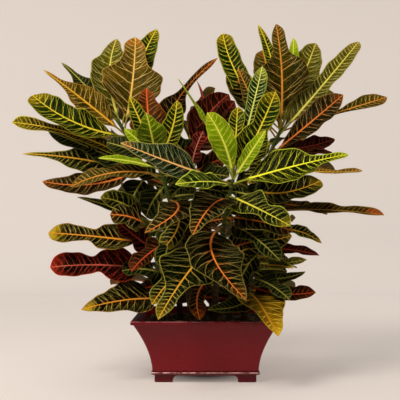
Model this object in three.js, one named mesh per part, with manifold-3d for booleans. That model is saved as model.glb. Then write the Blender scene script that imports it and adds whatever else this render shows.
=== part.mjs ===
// Potted croton: eight leafy stems in a square flared ceramic pot on four bracket feet.
// Millimetres, +Z up. The origin is on the ground under the middle of the pot, -Y is the front.
import * as THREE from "three";
import { mergeVertices } from "three/addons/utils/BufferGeometryUtils.js";
import Module from "manifold-3d";

// Pot: half-widths are measured square to a side, levels from the ground.
const POT_HEIGHT = 103;
const RIM_HALF = 120;
const RIM_BAND = 6;
const RIM_STEP = 2.5;
const RIM_WIDTH = 8;
const RIM_EDGE = 1;
const WALL = 7;
const WAIST_HALF = 87;
const WAIST_LEVEL = 18.5;
const FLARE_POWER = 1.7;
const FLARE_RINGS = 5;
const BEAD_HALF = 89;
const BEAD_LEVEL = 15.5;
const BEAD_RADIUS = 3;
const BEAD_ANGLES = [-53, 0, 53];
const FOOT_HALF = 83.5;
const FOOT_WIDTH = 30;
const FOOT_HEIGHT = 11;
const FOOT_ARCH = 4;
const FLOOR_LEVEL = 21;
const DRAIN_RADIUS = 7;
const CORNER_RADIUS = 3.5;
const CORNER_STEPS = 2;

// Soil
const SOIL_LEVEL = 90;
const SOIL_SWELL = 2.2;
const HUMP_WIDE = [23, 19];
const HUMP_FINE = [11, 14];
const HUMP_FINE_SHARE = 0.6;
const SOIL_CELLS = 8;
const GAP = 0.3;
const HOLE_SIDES = 12;

// Stems
const ROOT_LEVEL = 45;
const STRAIGHT_TO = 97;
const STEM_SIDES = 6;
const STEM_STEPS = 7;
const STEM_FOOT_RADIUS = 5.6;
const STEM_TIP_RADIUS = 3;
const HALVINGS = 30;

// Leaves
const PETIOLE_RADIUS = 1.6;
const PETIOLE_SHARE = 0.16;
const RIB_THICKNESS = 1.9;
const EDGE_THICKNESS = 0.9;
const TIP_HALF = 0.6;
const FOLD = 0.24;
const WAVE = 3.2;
const WAVE_FULL_HALF = 20;
const WAVES = 2.3;
const WAVE_SKEW = 0.31;
const SIDE_SHIFT = 0.03;
const GOLDEN = 0.618;
const NARROW_LEAF = 60;
const STATIONS = [0, 0.13, 0.3, 0.5, 0.7, 0.87, 1];
const NARROW_STATIONS = [0, 0.16, 0.45, 0.75, 1];

// Half-width of a blade from its base to its tip, as a share of the widest place.
const OUTLINES = {
  tongue: [0.12, 0.62, 0.92, 1, 1, 0.93, 0.78, 0.5, 0],
  oak: [0.12, 0.7, 1, 0.93, 0.6, 0.6, 0.72, 0.56, 0],
  paddle: [0.1, 0.4, 0.62, 0.8, 0.95, 1, 0.95, 0.66, 0],
  tail: [0.12, 0.6, 0.95, 1, 0.78, 0.4, 0.2, 0.13, 0],
  dagger: [0.14, 0.6, 0.9, 1, 0.94, 0.8, 0.6, 0.35, 0],
  spoon: [0.3, 0.55, 0.45, 0.26, 0.28, 0.6, 1, 0.85, 0],
  lobed: [0.12, 0.5, 0.86, 1, 0.95, 0.5, 0.38, 0.33, 0],
  ovate: [0.14, 0.48, 0.76, 0.94, 1, 0.97, 0.84, 0.58, 0],
  broad: [0.2, 0.8, 1, 0.96, 0.84, 0.68, 0.48, 0.3, 0],
  spade: [0.14, 0.5, 0.8, 0.95, 1, 0.95, 0.62, 0.36, 0],
  cross: [0.12, 0.42, 0.8, 1, 0.92, 0.42, 0.28, 0.25, 0],
  double: [0.12, 0.5, 0.85, 1, 0.98, 0.8, 0.46, 0.5, 0.62, 0.7, 0.7, 0.5, 0],
  chain: [0.15, 0.55, 0.85, 1, 0.98, 0.9, 0.75, 0.6, 0.64, 0.86, 1, 0.85, 0],
  club: [0.12, 0.45, 0.7, 0.88, 0.96, 1, 0.98, 0.96, 0.95, 0.93, 0.86, 0.68, 0],
  strap: [0.12, 0.6, 0.95, 1, 0.86, 0.74, 0.7, 0.72, 0.74, 0.72, 0.64, 0.46, 0],
  drawn: [0.12, 0.4, 0.66, 0.86, 0.97, 1, 0.97, 0.8, 0.36, 0.25, 0.23, 0.21, 0],
};

// A stem leaves the soil upright at its foot, bends towards one point and ends at its crown.
// A leaf is: level on the stem, tip x, y and z, width, rise of the midrib's middle off the
// straight line, turn and rise of the way its face looks (turn 0 is the front, rise 90 is up),
// outline, then if it needs them a sideways bow and the share that is leaf stalk.
const STEMS = {
  left_tall: {
    foot: [-44, 12],
    bend: [-62, 8, 300],
    crown: [-158, 5, 446],
    leaves: [
      [430, -167, 70, 609, 68, 12, 0, 15, "spade", 16],
      [425, -128, 30, 601, 108, 10, 0, 12, "lobed", -6],
      [432, -92, 75, 629, 48, 8, 0, 12, "tongue", 6],
      [428, -269, 60, 562, 60, 10, -10, 40, "tail"],
      [415, -291, 10, 536, 60, 8, -10, 40, "tail", 2],
      [415, -301, -30, 483, 56, 10, 0, 35, "club", 26],
      [360, -333, -40, 434, 29, 10, 0, 35, "chain", -12],
      [347, -314, -40, 380, 66, 8, 0, 28, "tail", -4],
      [350, -278, -10, 424, 50, 10, 0, 30, "oak", 4],
      [360, -282, -30, 333, 44, 8, 0, 30, "tongue", 26],
      [250, -227, 0, 307, 18, 8, 0, 10, "dagger", -4],
      [410, -250, 110, 520, 50, 14, 200, 50, "oak"],
      [390, -215, 165, 430, 54, 16, 190, 50, "oak"],
      [350, -270, 110, 330, 50, 16, 200, 60, "oak"],
      [425, -150, 185, 500, 52, 14, 180, 40, "tongue"],
      [320, -190, 165, 300, 50, 16, 190, 60, "oak"],
      [345, -136, -8, 280, 54, 10, -10, 30, "oak"],
    ],
  },
  left_front: {
    foot: [-24, -24],
    bend: [-40, -30, 260],
    crown: [-91, -50, 388],
    leaves: [
      [375, -130, -50, 476, 29, 6, 0, 15, "tongue"],
      [372, -98, -85, 443, 50, 10, 0, 30, "spade"],
      [365, -48, -60, 468, 36, 5, 0, 12, "tongue", -8],
      [380, -104, -10, 499, 66, 8, 0, 18, "broad", 2],
      [352, -176, -90, 367, 18, 6, 0, 40, "tongue"],
      [372, -137, -60, 420, 24, 4, 0, 20, "tongue"],
      [366, -173, -20, 402, 42, 6, -10, 30, "ovate"],
      [340, -222, -90, 320, 46, 20, 0, 45, "oak"],
      [300, -96, -130, 244, 70, 18, 0, 40, "broad", 32],
      [250, -68, -116, 185, 50, 14, -10, 35, "oak"],
      [230, -120, -105, 182, 48, 14, -20, 35, "oak"],
      [175, -85, -118, 130, 46, 14, -10, 30, "oak"],
      [330, -152, -20, 360, 42, 12, -10, 40, "oak"],
      [325, -102, -32, 271, 52, 8, -10, 30, "ovate"],
      [290, -71, -90, 216, 54, 10, -10, 25, "oak", 22],
    ],
  },
  low_left: {
    foot: [-66, -30],
    bend: [-74, -34, 190],
    crown: [-104, -50, 262],
    leaves: [
      [256, -177, -62, 303, 40, 10, 0, 35, "ovate", -8],
      [258, -158, -80, 274, 59, 10, 0, 30, "oak"],
      [215, -147, -60, 262, 46, 8, 0, 35, "oak", 6],
      [225, -262, -70, 244, 54, 10, 0, 35, "double", 4],
      [178, -261, -60, 186, 66, 8, 0, 30, "double", -4],
      [130, -199, -110, 121, 74, 12, 0, 45, "broad", 2],
      [175, -140, -60, 180, 48, 8, -10, 40, "oak"],
      [225, -200, 20, 230, 46, 12, -60, 55, "oak"],
      [180, -150, 112, 168, 48, 14, 190, 45, "oak"],
      [150, -172, 40, 150, 48, 12, 180, 60, "oak"],
      [190, -65, -28, 142, 48, 10, 0, 30, "oak"],
    ],
  },
  back_tall: {
    foot: [-10, 44],
    bend: [-14, 50, 280],
    crown: [-29, 65, 407],
    leaves: [
      [340, 23, 95, 578, 72, -20, 0, 80, "drawn", 94],
      [405, -16, 80, 531, 10, 3, 0, 20, "dagger", -20],
      [392, 44, 60, 501, 62, 8, 0, 20, "ovate", 10],
      [380, 54, 50, 487, 50, 8, 10, 15, "oak"],
      [365, -4, 10, 425, 40, 6, 0, 35, "oak"],
      [400, -60, 198, 480, 54, 14, 180, 45, "oak"],
      [405, 20, 195, 540, 52, 12, 180, 40, "oak"],
      [370, -80, 202, 385, 50, 16, 180, 55, "oak"],
      [360, 40, 202, 400, 54, 16, 180, 55, "oak"],
      [320, -90, 188, 310, 50, 16, 180, 60, "oak"],
      [372, -72, 50, 429, 54, 8, -10, 25, "oak"],
      [352, 37, 38, 380, 56, 8, 10, 25, "oak"],
      [340, -87, 48, 347, 59, 8, -10, 30, "oak"],
      [345, 42, 0, 343, 54, 8, 10, 25, "oak"],
      [330, -66, 20, 306, 59, 8, -10, 25, "oak"],
      [322, 47, 36, 311, 59, 10, 10, 30, "oak"],
      [270, -17, 18, 192, 52, 10, 0, 25, "oak"],
      [238, -65, 44, 179, 54, 10, -10, 30, "oak"],
      [185, -57, 40, 121, 52, 10, 0, 30, "oak"],
    ],
  },
  right_tall: {
    foot: [42, 12],
    bend: [70, 14, 300],
    crown: [137, 15, 431],
    leaves: [
      [425, 128, 20, 622, 92, 10, 0, 12, "cross", -6],
      [430, 99, 60, 633, 24, 4, 0, 15, "tongue", -10],
      [428, 32, 50, 613, 41, 10, 0, 12, "club", 20],
      [420, 51, 30, 545, 52, 8, 0, 15, "paddle", 12],
      [412, 58, 5, 538, 44, 8, 0, 15, "broad", 6],
      [425, 110, 100, 594, 56, 8, 0, 20, "ovate"],
      [430, 166, 75, 612, 27, 5, 0, 15, "tongue", -6],
      [425, 211, 90, 605, 55, 10, 0, 20, "ovate", -2],
      [415, 280, 30, 592, 46, 10, 0, 35, "strap", -6],
      [380, 241, -20, 485, 50, 8, 0, 35, "paddle", -6],
      [425, 325, 10, 486, 36, 8, 0, 38, "spoon", -6],
      [392, 231, 10, 411, 40, 8, 0, 45, "ovate", -18],
      [385, 227, 20, 389, 40, 6, 0, 60, "ovate", -14],
      [370, 273, -20, 352, 20, 8, 0, 60, "chain", -38],
      [320, 198, -40, 333, 56, 10, 0, 35, "club", -24],
      [280, 300, -60, 274, 38, 10, 0, 65, "club", -6],
      [290, 218, 15, 277, 42, 12, 40, 50, "oak"],
      [300, 40, 95, 330, 46, 12, 180, 45, "oak"],
      [375, 75, -10, 330, 46, 10, 0, 35, "oak"],
      [415, 250, 120, 515, 52, 14, 170, 50, "oak"],
      [390, 200, 180, 430, 54, 16, 170, 50, "oak"],
      [360, 250, 105, 357, 50, 16, 165, 60, "oak"],
      [425, 120, 190, 520, 52, 14, 180, 40, "oak"],
      [330, 170, 185, 320, 52, 16, 170, 60, "oak"],
      [405, 92, 44, 388, 56, 8, 0, 25, "oak"],
      [365, 91, 30, 310, 54, 8, 0, 30, "oak"],
      [395, 183, 40, 362, 50, 8, 20, 30, "oak"],
      [345, 125, 0, 277, 52, 10, 10, 30, "oak"],
    ],
  },
  front_right: {
    foot: [14, -38],
    bend: [22, -50, 230],
    crown: [46, -80, 333],
    leaves: [
      [332, 3, -110, 439, 42, 6, -10, 15, "ovate", -8],
      [333, -46, -60, 505, 26, 4, 70, 5, "dagger"],
      [335, 99, -30, 533, 42, 6, 0, 15, "oak", -2],
      [330, 118, -70, 481, 56, 6, 0, 20, "oak", -4],
      [333, 55, -55, 458, 38, 6, 0, 15, "oak"],
      [330, 98, -110, 410, 24, 4, 0, 20, "tongue"],
      [325, 231, -110, 371, 72, 16, 0, 38, "drawn", -10],
      [320, -47, -150, 320, 46, 16, 0, 45, "paddle", 12],
      [325, -136, -124, 388, 62, 12, -10, 35, "broad", 12, 0.34],
      [305, 132, -150, 255, 58, 14, 0, 38, "oak", -8],
      [270, 139, -120, 247, 62, 12, 0, 38, "oak", -4],
      [195, 143, -80, 239, 56, 10, 0, 30, "oak"],
      [300, -19, -170, 241, 70, 18, -10, 35, "broad", -2],
      [255, 61, -196, 144, 84, 22, 8, 28, "spade", -38],
      [235, -70, -196, 116, 96, 12, -10, 24, "cross", -4],
      [170, -9, -112, 105, 40, 8, 0, 25, "oak", -18],
      [205, 105, -95, 233, 50, 10, 20, 35, "oak"],
      [270, 68, -30, 302, 46, 8, 20, 30, "oak"],
      [326, 76, -20, 314, 56, 8, 20, 30, "ovate"],
      [262, 118, -128, 200, 50, 12, 10, 40, "oak"],
      [285, 116, -88, 256, 50, 12, 0, 45, "oak"],
    ],
  },
  low_right: {
    foot: [66, -30],
    bend: [76, -32, 180],
    crown: [100, -36, 250],
    leaves: [
      [245, 195, -60, 227, 26, 10, 0, 50, "tongue", 8],
      [215, 192, -50, 206, 27, 6, 0, 55, "tongue"],
      [195, 164, -100, 201, 30, 6, 0, 40, "oak", -14],
      [185, 140, -120, 188, 28, 5, 0, 40, "dagger"],
      [170, 170, -40, 178, 24, 5, 0, 40, "dagger", -14],
      [155, 180, -90, 147, 46, 8, 0, 40, "oak", -18],
      [152, 4, -118, 122, 34, 8, 0, 35, "tongue", 26],
      [140, 111, -165, 87, 90, 20, 20, 30, "broad", -10],
      [200, 158, 20, 183, 46, 12, 60, 50, "oak"],
      [165, 134, -118, 138, 42, 10, 10, 35, "oak"],
      [230, 165, 100, 265, 50, 14, 170, 55, "oak"],
      [160, 165, 70, 138, 46, 12, 170, 60, "oak"],
      [215, 52, -48, 150, 48, 10, 0, 30, "oak"],
    ],
  },
  low_back: {
    foot: [12, 78],
    bend: [12, 80, 180],
    crown: [8, 92, 262],
    leaves: [
      [255, -80, 192, 235, 54, 14, 180, 55, "oak"],
      [250, 75, 194, 225, 54, 14, 180, 55, "oak"],
      [200, 0, 200, 160, 52, 14, 180, 55, "oak"],
      [190, -115, 170, 150, 48, 12, 190, 55, "oak"],
      [180, 115, 165, 150, 48, 12, 170, 55, "oak"],
      [260, 0, 150, 345, 44, 10, 180, 45, "oak"],
      [235, -160, 110, 250, 48, 14, 200, 55, "oak"],
      [225, 160, 115, 245, 48, 14, 160, 55, "oak"],
      [150, 40, 190, 118, 44, 12, 180, 50, "oak"],
      [180, 78, 52, 124, 50, 10, 0, 30, "oak"],
      [190, 22, 60, 113, 44, 8, 0, 25, "ovate"],
    ],
  },
};

const glaze = new THREE.MeshStandardMaterial({ color: 0x5f1a1e, roughness: 0.22, metalness: 0 });
const earth = new THREE.MeshStandardMaterial({ color: 0x2b2116, roughness: 0.95, metalness: 0 });
const foliage = {
  left_tall: 0x6d6a22,
  left_front: 0x5a6a1e,
  low_left: 0x6b2a1a,
  back_tall: 0x5a1f1a,
  right_tall: 0x755522,
  front_right: 0x3f6a1c,
  low_right: 0x4a4a18,
  low_back: 0x2f4018,
};

const wasm = await Module();
wasm.setup();

const vec = (x, y, z) => new THREE.Vector3(x, y, z);
const clamp = (v, low, high) => Math.min(Math.max(v, low), high);

// A closed geometry of points and triangles as a solid that can be joined and cut.
function solid(points, triangles) {
  const vertProperties = new Float32Array(points.flatMap((p) => [p.x, p.y, p.z]));
  const triVerts = new Uint32Array(triangles.flat());
  return new wasm.Manifold(new wasm.Mesh({ numProp: 3, vertProperties, triVerts }));
}

function solidOfGeometry(geometry) {
  const bare = geometry.clone();
  bare.deleteAttribute("normal");
  bare.deleteAttribute("uv");
  const merged = mergeVertices(bare, 1e-4);
  const vertProperties = new Float32Array(merged.attributes.position.array);
  const triVerts = new Uint32Array(merged.index.array);
  return new wasm.Manifold(new wasm.Mesh({ numProp: 3, vertProperties, triVerts }));
}

function meshOf(name, made, material) {
  const data = made.getMesh();
  const geometry = new THREE.BufferGeometry();
  geometry.setAttribute("position", new THREE.BufferAttribute(new Float32Array(data.vertProperties), 3));
  geometry.setIndex(new THREE.BufferAttribute(new Uint32Array(data.triVerts), 1));
  geometry.computeVertexNormals();
  const mesh = new THREE.Mesh(geometry, material);
  mesh.name = name;
  return mesh;
}

// Joins rings of equally many points, each facing the next, into one closed skin.
function skin(rings) {
  const points = rings.flat();
  const triangles = [];
  const n = rings[0].length;
  for (let k = 0; k + 1 < rings.length; k++) {
    for (let i = 0; i < n; i++) {
      const j = (i + 1) % n;
      const [a, b] = [k * n, (k + 1) * n];
      triangles.push([a + i, a + j, b + j], [a + i, b + j, b + i]);
    }
  }
  for (const [start, turned] of [[0, true], [(rings.length - 1) * n, false]]) {
    for (let i = 1; i + 1 < n; i++) {
      triangles.push(turned ? [start, start + i + 1, start + i] : [start, start + i, start + i + 1]);
    }
  }
  return solid(points, triangles);
}

// One level of the pot: a square with rounded corners, counter-clockwise from above.
function squareRing(half, level, radius = CORNER_RADIUS) {
  const ring = [];
  for (let corner = 0; corner < 4; corner++) {
    const middle = (corner + 0.5) * (Math.PI / 2);
    const centre = (half - radius) * Math.SQRT2;
    for (let i = 0; i <= CORNER_STEPS; i++) {
      const angle = middle + (i / CORNER_STEPS - 0.5) * (Math.PI / 2);
      ring.push(
        vec(
          centre * Math.cos(middle) + radius * Math.cos(angle),
          centre * Math.sin(middle) + radius * Math.sin(angle),
          level,
        ),
      );
    }
  }
  return ring;
}

// Half-width of the flared wall's outer face.
function flare(level) {
  const rise = clamp((level - WAIST_LEVEL) / (POT_HEIGHT - WAIST_LEVEL), 0, 1);
  return WAIST_HALF + (RIM_HALF - WAIST_HALF) * rise ** FLARE_POWER;
}

function flareRings(from, to, inset) {
  return Array.from({ length: FLARE_RINGS + 1 }, (_, i) => {
    const level = from + ((to - from) * i) / FLARE_RINGS;
    return squareRing(flare(level) - inset, level);
  });
}

// The bead round the foot of the wall, at one angle of its round face.
function beadRing(degrees) {
  const angle = THREE.MathUtils.degToRad(degrees);
  const half = BEAD_HALF - BEAD_RADIUS * (1 - Math.cos(angle));
  return squareRing(half, BEAD_LEVEL + BEAD_RADIUS * Math.sin(angle));
}

// The arch between two feet, right through the pot's base.
function footArch() {
  const half = FOOT_HALF - FOOT_WIDTH;
  const shape = new THREE.Shape();
  shape.moveTo(-half, -1);
  shape.lineTo(half, -1);
  shape.lineTo(half, FOOT_HEIGHT - FOOT_ARCH);
  shape.quadraticCurveTo(half, FOOT_HEIGHT, half - FOOT_ARCH, FOOT_HEIGHT);
  shape.lineTo(FOOT_ARCH - half, FOOT_HEIGHT);
  shape.quadraticCurveTo(-half, FOOT_HEIGHT, -half, FOOT_HEIGHT - FOOT_ARCH);
  const depth = 3 * FOOT_HALF;
  const geometry = new THREE.ExtrudeGeometry(shape, { depth, bevelEnabled: false, curveSegments: 4 });
  geometry.translate(0, 0, -depth / 2);
  geometry.rotateX(Math.PI / 2);
  return geometry;
}

function makePot() {
  const bandFoot = POT_HEIGHT - RIM_BAND;
  const beadTop = BEAD_LEVEL + BEAD_RADIUS;
  const outside = skin([
    squareRing(FOOT_HALF, 0),
    squareRing(FOOT_HALF, BEAD_LEVEL - BEAD_RADIUS),
    ...BEAD_ANGLES.map(beadRing),
    ...flareRings(beadTop, bandFoot, 0).slice(0, -1),
    squareRing(RIM_HALF - RIM_STEP, bandFoot),
    squareRing(RIM_HALF, bandFoot + RIM_EDGE),
    squareRing(RIM_HALF, POT_HEIGHT - RIM_EDGE),
    squareRing(RIM_HALF - RIM_EDGE, POT_HEIGHT),
  ]);
  const opening = RIM_HALF - RIM_WIDTH;
  const inside = skin([
    ...flareRings(FLOOR_LEVEL, bandFoot, WALL),
    squareRing(opening, POT_HEIGHT - RIM_EDGE),
    squareRing(opening + RIM_EDGE, POT_HEIGHT + RIM_EDGE),
  ]);
  const arch = footArch();
  const across = arch.clone().rotateZ(Math.PI / 2);
  const drain = new THREE.CylinderGeometry(DRAIN_RADIUS, DRAIN_RADIUS, 4 * FLOOR_LEVEL, HOLE_SIDES);
  drain.rotateX(Math.PI / 2);
  const cuts = [inside, solidOfGeometry(arch), solidOfGeometry(across), solidOfGeometry(drain)];
  return cuts.reduce((made, cut) => made.subtract(cut), outside);
}

// Height of the uneven ground between the stems.
function groundLevel(x, y) {
  const wide = Math.sin(x / HUMP_WIDE[0] + 1) * Math.cos(y / HUMP_WIDE[1]);
  const fine = Math.sin(x / HUMP_FINE[0] + y / HUMP_FINE[1]);
  return SOIL_LEVEL + SOIL_SWELL * (wide + HUMP_FINE_SHARE * fine);
}

function makeSoil() {
  const top = SOIL_LEVEL + 4 * SOIL_SWELL;
  const filling = skin(flareRings(FLOOR_LEVEL + GAP, top, WALL + GAP));
  const half = RIM_HALF;
  const points = [];
  const triangles = [];
  const n = SOIL_CELLS + 1;
  for (const roof of [false, true]) {
    for (let j = 0; j < n; j++) {
      for (let i = 0; i < n; i++) {
        const x = half * ((2 * i) / SOIL_CELLS - 1);
        const y = half * ((2 * j) / SOIL_CELLS - 1);
        points.push(vec(x, y, roof ? 2 * POT_HEIGHT : groundLevel(x, y)));
      }
    }
  }
  const at = (i, j, roof) => j * n + i + (roof ? n * n : 0);
  for (let j = 0; j + 1 < n; j++) {
    for (let i = 0; i + 1 < n; i++) {
      const [a, b, c, d] = [at(i, j), at(i + 1, j), at(i + 1, j + 1), at(i, j + 1)];
      triangles.push([a, c, b], [a, d, c]);
      triangles.push([a + n * n, b + n * n, c + n * n], [a + n * n, c + n * n, d + n * n]);
    }
  }
  const edge = [];
  for (let i = 0; i < SOIL_CELLS; i++) {
    edge.push([at(i, 0), at(i + 1, 0)], [at(SOIL_CELLS, i), at(SOIL_CELLS, i + 1)]);
    edge.push([at(i + 1, SOIL_CELLS), at(i, SOIL_CELLS)], [at(0, i + 1), at(0, i)]);
  }
  for (const [a, b] of edge) {
    triangles.push([a, b, b + n * n], [a, b + n * n, a + n * n]);
  }
  let made = filling.subtract(solid(points, triangles));
  for (const { foot } of Object.values(STEMS)) {
    const radius = STEM_FOOT_RADIUS + GAP;
    const depth = 2 * (POT_HEIGHT - ROOT_LEVEL);
    const hole = new THREE.CylinderGeometry(radius, radius, depth, HOLE_SIDES).rotateX(Math.PI / 2);
    hole.translate(foot[0], foot[1], ROOT_LEVEL - GAP + depth / 2);
    made = made.subtract(solidOfGeometry(hole));
  }
  return made;
}

function stemCurve({ foot, bend, crown }) {
  return new THREE.QuadraticBezierCurve3(vec(...foot, STRAIGHT_TO), vec(...bend), vec(...crown));
}

// The place on a stem's middle line at a level.
function onStem(curve, foot, level) {
  if (level <= STRAIGHT_TO) return vec(...foot, level);
  let [low, high] = [0, 1];
  for (let i = 0; i < HALVINGS; i++) {
    const middle = (low + high) / 2;
    if (curve.getPoint(middle).z < level) low = middle;
    else high = middle;
  }
  return curve.getPoint(low);
}

function stemSolid(curve, foot) {
  const rings = [];
  for (let k = -1; k <= STEM_STEPS; k++) {
    const t = Math.max(k, 0) / STEM_STEPS;
    const centre = k < 0 ? vec(...foot, ROOT_LEVEL) : curve.getPoint(t);
    const along = k <= 0 ? vec(0, 0, 1) : curve.getTangent(t);
    const radius = STEM_FOOT_RADIUS + (STEM_TIP_RADIUS - STEM_FOOT_RADIUS) * t;
    const right = vec(0, 1, 0).cross(along).normalize();
    const back = along.clone().cross(right);
    const ring = [];
    for (let i = 0; i < STEM_SIDES; i++) {
      const angle = (2 * Math.PI * i) / STEM_SIDES;
      const out = right.clone().multiplyScalar(Math.cos(angle)).addScaledVector(back, Math.sin(angle));
      ring.push(centre.clone().addScaledVector(out, radius));
    }
    rings.push(ring);
  }
  return skin(rings);
}

// Half-width share of an outline at a place from 0 to 1, on a smooth curve through its points.
function outlineAt(outline, place) {
  const values = OUTLINES[outline];
  const s = clamp(place, 0, 1) * (values.length - 1);
  const i = Math.min(Math.floor(s), values.length - 2);
  const f = s - i;
  const [a, b, c, d] = [i - 1, i, i + 1, i + 2].map((k) => values[clamp(k, 0, values.length - 1)]);
  return Math.max(0, b + 0.5 * f * (c - a + f * (2 * a - 5 * b + 4 * c - d + f * (3 * (b - c) + d - a))));
}

// Six points round a leaf: left edge, rib and right edge above, then back below.
function leafRing(centre, across, normal, halves, lifts, rib, edge) {
  const left = centre.clone().addScaledVector(across, -halves[0]).addScaledVector(normal, lifts[0]);
  const right = centre.clone().addScaledVector(across, halves[1]).addScaledVector(normal, lifts[1]);
  const above = [left, centre, right];
  const offset = (p, by) => p.clone().addScaledVector(normal, by);
  const thickness = [edge, rib, edge];
  const upper = above.map((p, i) => offset(p, thickness[i] / 2));
  const lower = above.map((p, i) => offset(p, -thickness[i] / 2));
  return [upper[0], lower[0], lower[1], lower[2], upper[2], upper[1]];
}

function leafSolid(curve, foot, leaf, index) {
  const [level, x, y, z, width, bow, turn, rise, outline, sway = 0, stalk = PETIOLE_SHARE] = leaf;
  const root = onStem(curve, foot, level);
  const tip = vec(x, y, z);
  const chord = tip.clone().sub(root).normalize();
  const [yaw, pitch] = [THREE.MathUtils.degToRad(turn), THREE.MathUtils.degToRad(rise)];
  const look = vec(Math.sin(yaw) * Math.cos(pitch), -Math.cos(yaw) * Math.cos(pitch), Math.sin(pitch));
  const face = look.addScaledVector(chord, -look.dot(chord)).normalize();
  const side = face.clone().cross(chord);
  const middle = root.clone().add(tip).multiplyScalar(0.5);
  middle.addScaledVector(face, 2 * bow).addScaledVector(side, 2 * sway);
  const midrib = new THREE.QuadraticBezierCurve3(root, middle, tip);
  const odd = index % 2 ? 1 : -1;
  const phase = (index * GOLDEN) % 1;
  const stations = width < NARROW_LEAF ? NARROW_STATIONS : STATIONS;
  const rings = [];
  for (const place of [-1, ...stations]) {
    const t = place < 0 ? 0 : stalk + (1 - stalk) * place;
    const s = Math.max(place, 0);
    const along = midrib.getTangent(t);
    const normal = face.clone().addScaledVector(along, -face.dot(along)).normalize();
    const across = normal.clone().cross(along);
    const halves = [];
    const lifts = [];
    for (const hand of [-1, 1]) {
      const shift = s > 0 && s < 1 ? hand * odd * SIDE_SHIFT : 0;
      const wide = (width / 2) * outlineAt(outline, s + shift);
      const half = place < 0 ? PETIOLE_RADIUS : Math.max(wide, s > 0 ? TIP_HALF : PETIOLE_RADIUS);
      const ripple = Math.sin(2 * Math.PI * (WAVES * s + phase + WAVE_SKEW * hand));
      const waved = WAVE * Math.sin(Math.PI * s) * ripple * Math.min(1, half / WAVE_FULL_HALF);
      halves.push(half);
      lifts.push(place < 0 ? 0 : FOLD * half + waved);
    }
    const flat = place < 0 ? 0 : clamp(s / stations[1], 0, 1);
    const rib = s < 1 ? THREE.MathUtils.lerp(2 * PETIOLE_RADIUS, RIB_THICKNESS, flat) : EDGE_THICKNESS;
    const edge = THREE.MathUtils.lerp(PETIOLE_RADIUS, EDGE_THICKNESS, flat);
    rings.push(leafRing(midrib.getPoint(t), across, normal, halves, lifts, rib, edge));
  }
  return leafSkin(rings);
}

// Closes the rings of a leaf, each quad above split along the same line as the one below it.
function leafSkin(rings) {
  const triangles = [];
  for (let k = 0; k + 1 < rings.length; k++) {
    for (let i = 0; i < 6; i++) {
      const j = (i + 1) % 6;
      const [a, b] = [6 * k, 6 * (k + 1)];
      if (i < 3) triangles.push([a + i, a + j, b + i], [a + j, b + j, b + i]);
      else triangles.push([a + i, a + j, b + j], [a + i, b + j, b + i]);
    }
  }
  const end = 6 * (rings.length - 1);
  for (const [p, q, r] of [[0, 1, 2], [0, 2, 5], [5, 2, 4], [4, 2, 3]]) {
    triangles.push([r, q, p], [end + p, end + q, end + r]);
  }
  return solid(rings.flat(), triangles);
}

// The stem and its leaves as one body; a hollow that leaves close off between them is filled.
function makeStem(stem) {
  const curve = stemCurve(stem);
  const leaves = stem.leaves.map((leaf, i) => leafSolid(curve, stem.foot, leaf, i + 1));
  const joined = wasm.Manifold.union([stemSolid(curve, stem.foot), ...leaves]);
  return joined.decompose().reduce((most, body) => (body.volume() > most.volume() ? body : most));
}

const croton = new THREE.Group();
croton.add(meshOf("pot", makePot(), glaze));
croton.add(meshOf("soil", makeSoil(), earth));
for (const [name, stem] of Object.entries(STEMS)) {
  const leafy = new THREE.MeshStandardMaterial({ color: foliage[name], roughness: 0.4, metalness: 0 });
  croton.add(meshOf("stem_" + name, makeStem(stem), leafy));
}

export default croton;
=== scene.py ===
"""Potted croton: oak-shaped, bright-veined leaves on eight stems in a square glazed pot."""
import math
import random
from collections import namedtuple

import bpy
import numpy as np
from bpy.props import FloatProperty, FloatVectorProperty, IntProperty, PointerProperty
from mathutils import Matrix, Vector, noise


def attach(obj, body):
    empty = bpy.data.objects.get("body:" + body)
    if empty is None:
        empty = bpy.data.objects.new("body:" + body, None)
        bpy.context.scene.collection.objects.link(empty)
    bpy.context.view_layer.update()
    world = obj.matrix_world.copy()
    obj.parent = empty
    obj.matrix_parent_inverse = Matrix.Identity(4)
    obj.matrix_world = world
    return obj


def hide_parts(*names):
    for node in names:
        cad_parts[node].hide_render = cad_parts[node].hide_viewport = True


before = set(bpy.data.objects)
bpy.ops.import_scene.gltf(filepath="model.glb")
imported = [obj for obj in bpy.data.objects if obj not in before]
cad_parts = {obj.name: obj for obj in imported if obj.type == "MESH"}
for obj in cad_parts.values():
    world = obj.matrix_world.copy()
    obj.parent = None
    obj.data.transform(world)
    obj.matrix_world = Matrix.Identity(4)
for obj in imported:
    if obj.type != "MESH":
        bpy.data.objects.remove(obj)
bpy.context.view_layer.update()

bl_info = {
    "name": "Potted Croton",
    "version": (1, 0, 0),
    "blender": (4, 5, 0),
    "location": "3D View > Sidebar > Croton",
    "description": "Builds a croton with patterned leaves in a glazed square pot",
    "category": "Object",
}

BODY = "root"
MM = 0.001

# The pot, in millimetres as in the frame
POT_HEIGHT = 103.0
RIM_HALF = 120.0
RIM_BAND = 6.0
RIM_STEP = 2.5
RIM_WIDTH = 8.0
BAND_ROUNDING = 1.2
LIP_ROUNDING = 1.6
WAIST_HALF = 87.0
WAIST_LEVEL = 18.5
FLARE_POWER = 1.7
FLARE_CLEARANCE = 0.4
BEAD_HALF = 89.0
BEAD_LEVEL = 15.5
BEAD_RADIUS = 3.0
BEAD_ANGLE = 80
CREST_RISE = 0.9
CREST_WIDTH = 1.0
FOOT_HALF = 83.5
FOOT_EDGE = 0.8
FOOT_WIDTH = 30.0
FOOT_HEIGHT = 11.0
FOOT_ARCH = 8.0
FLOOR_LEVEL = 21.0
FLOOR_COVE = 5.0
DRAIN_RADIUS = 7.0
WALL = 7.0
CORNER_RADIUS = 3.5
GLAZE_ROUNDING = 0.6

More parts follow.
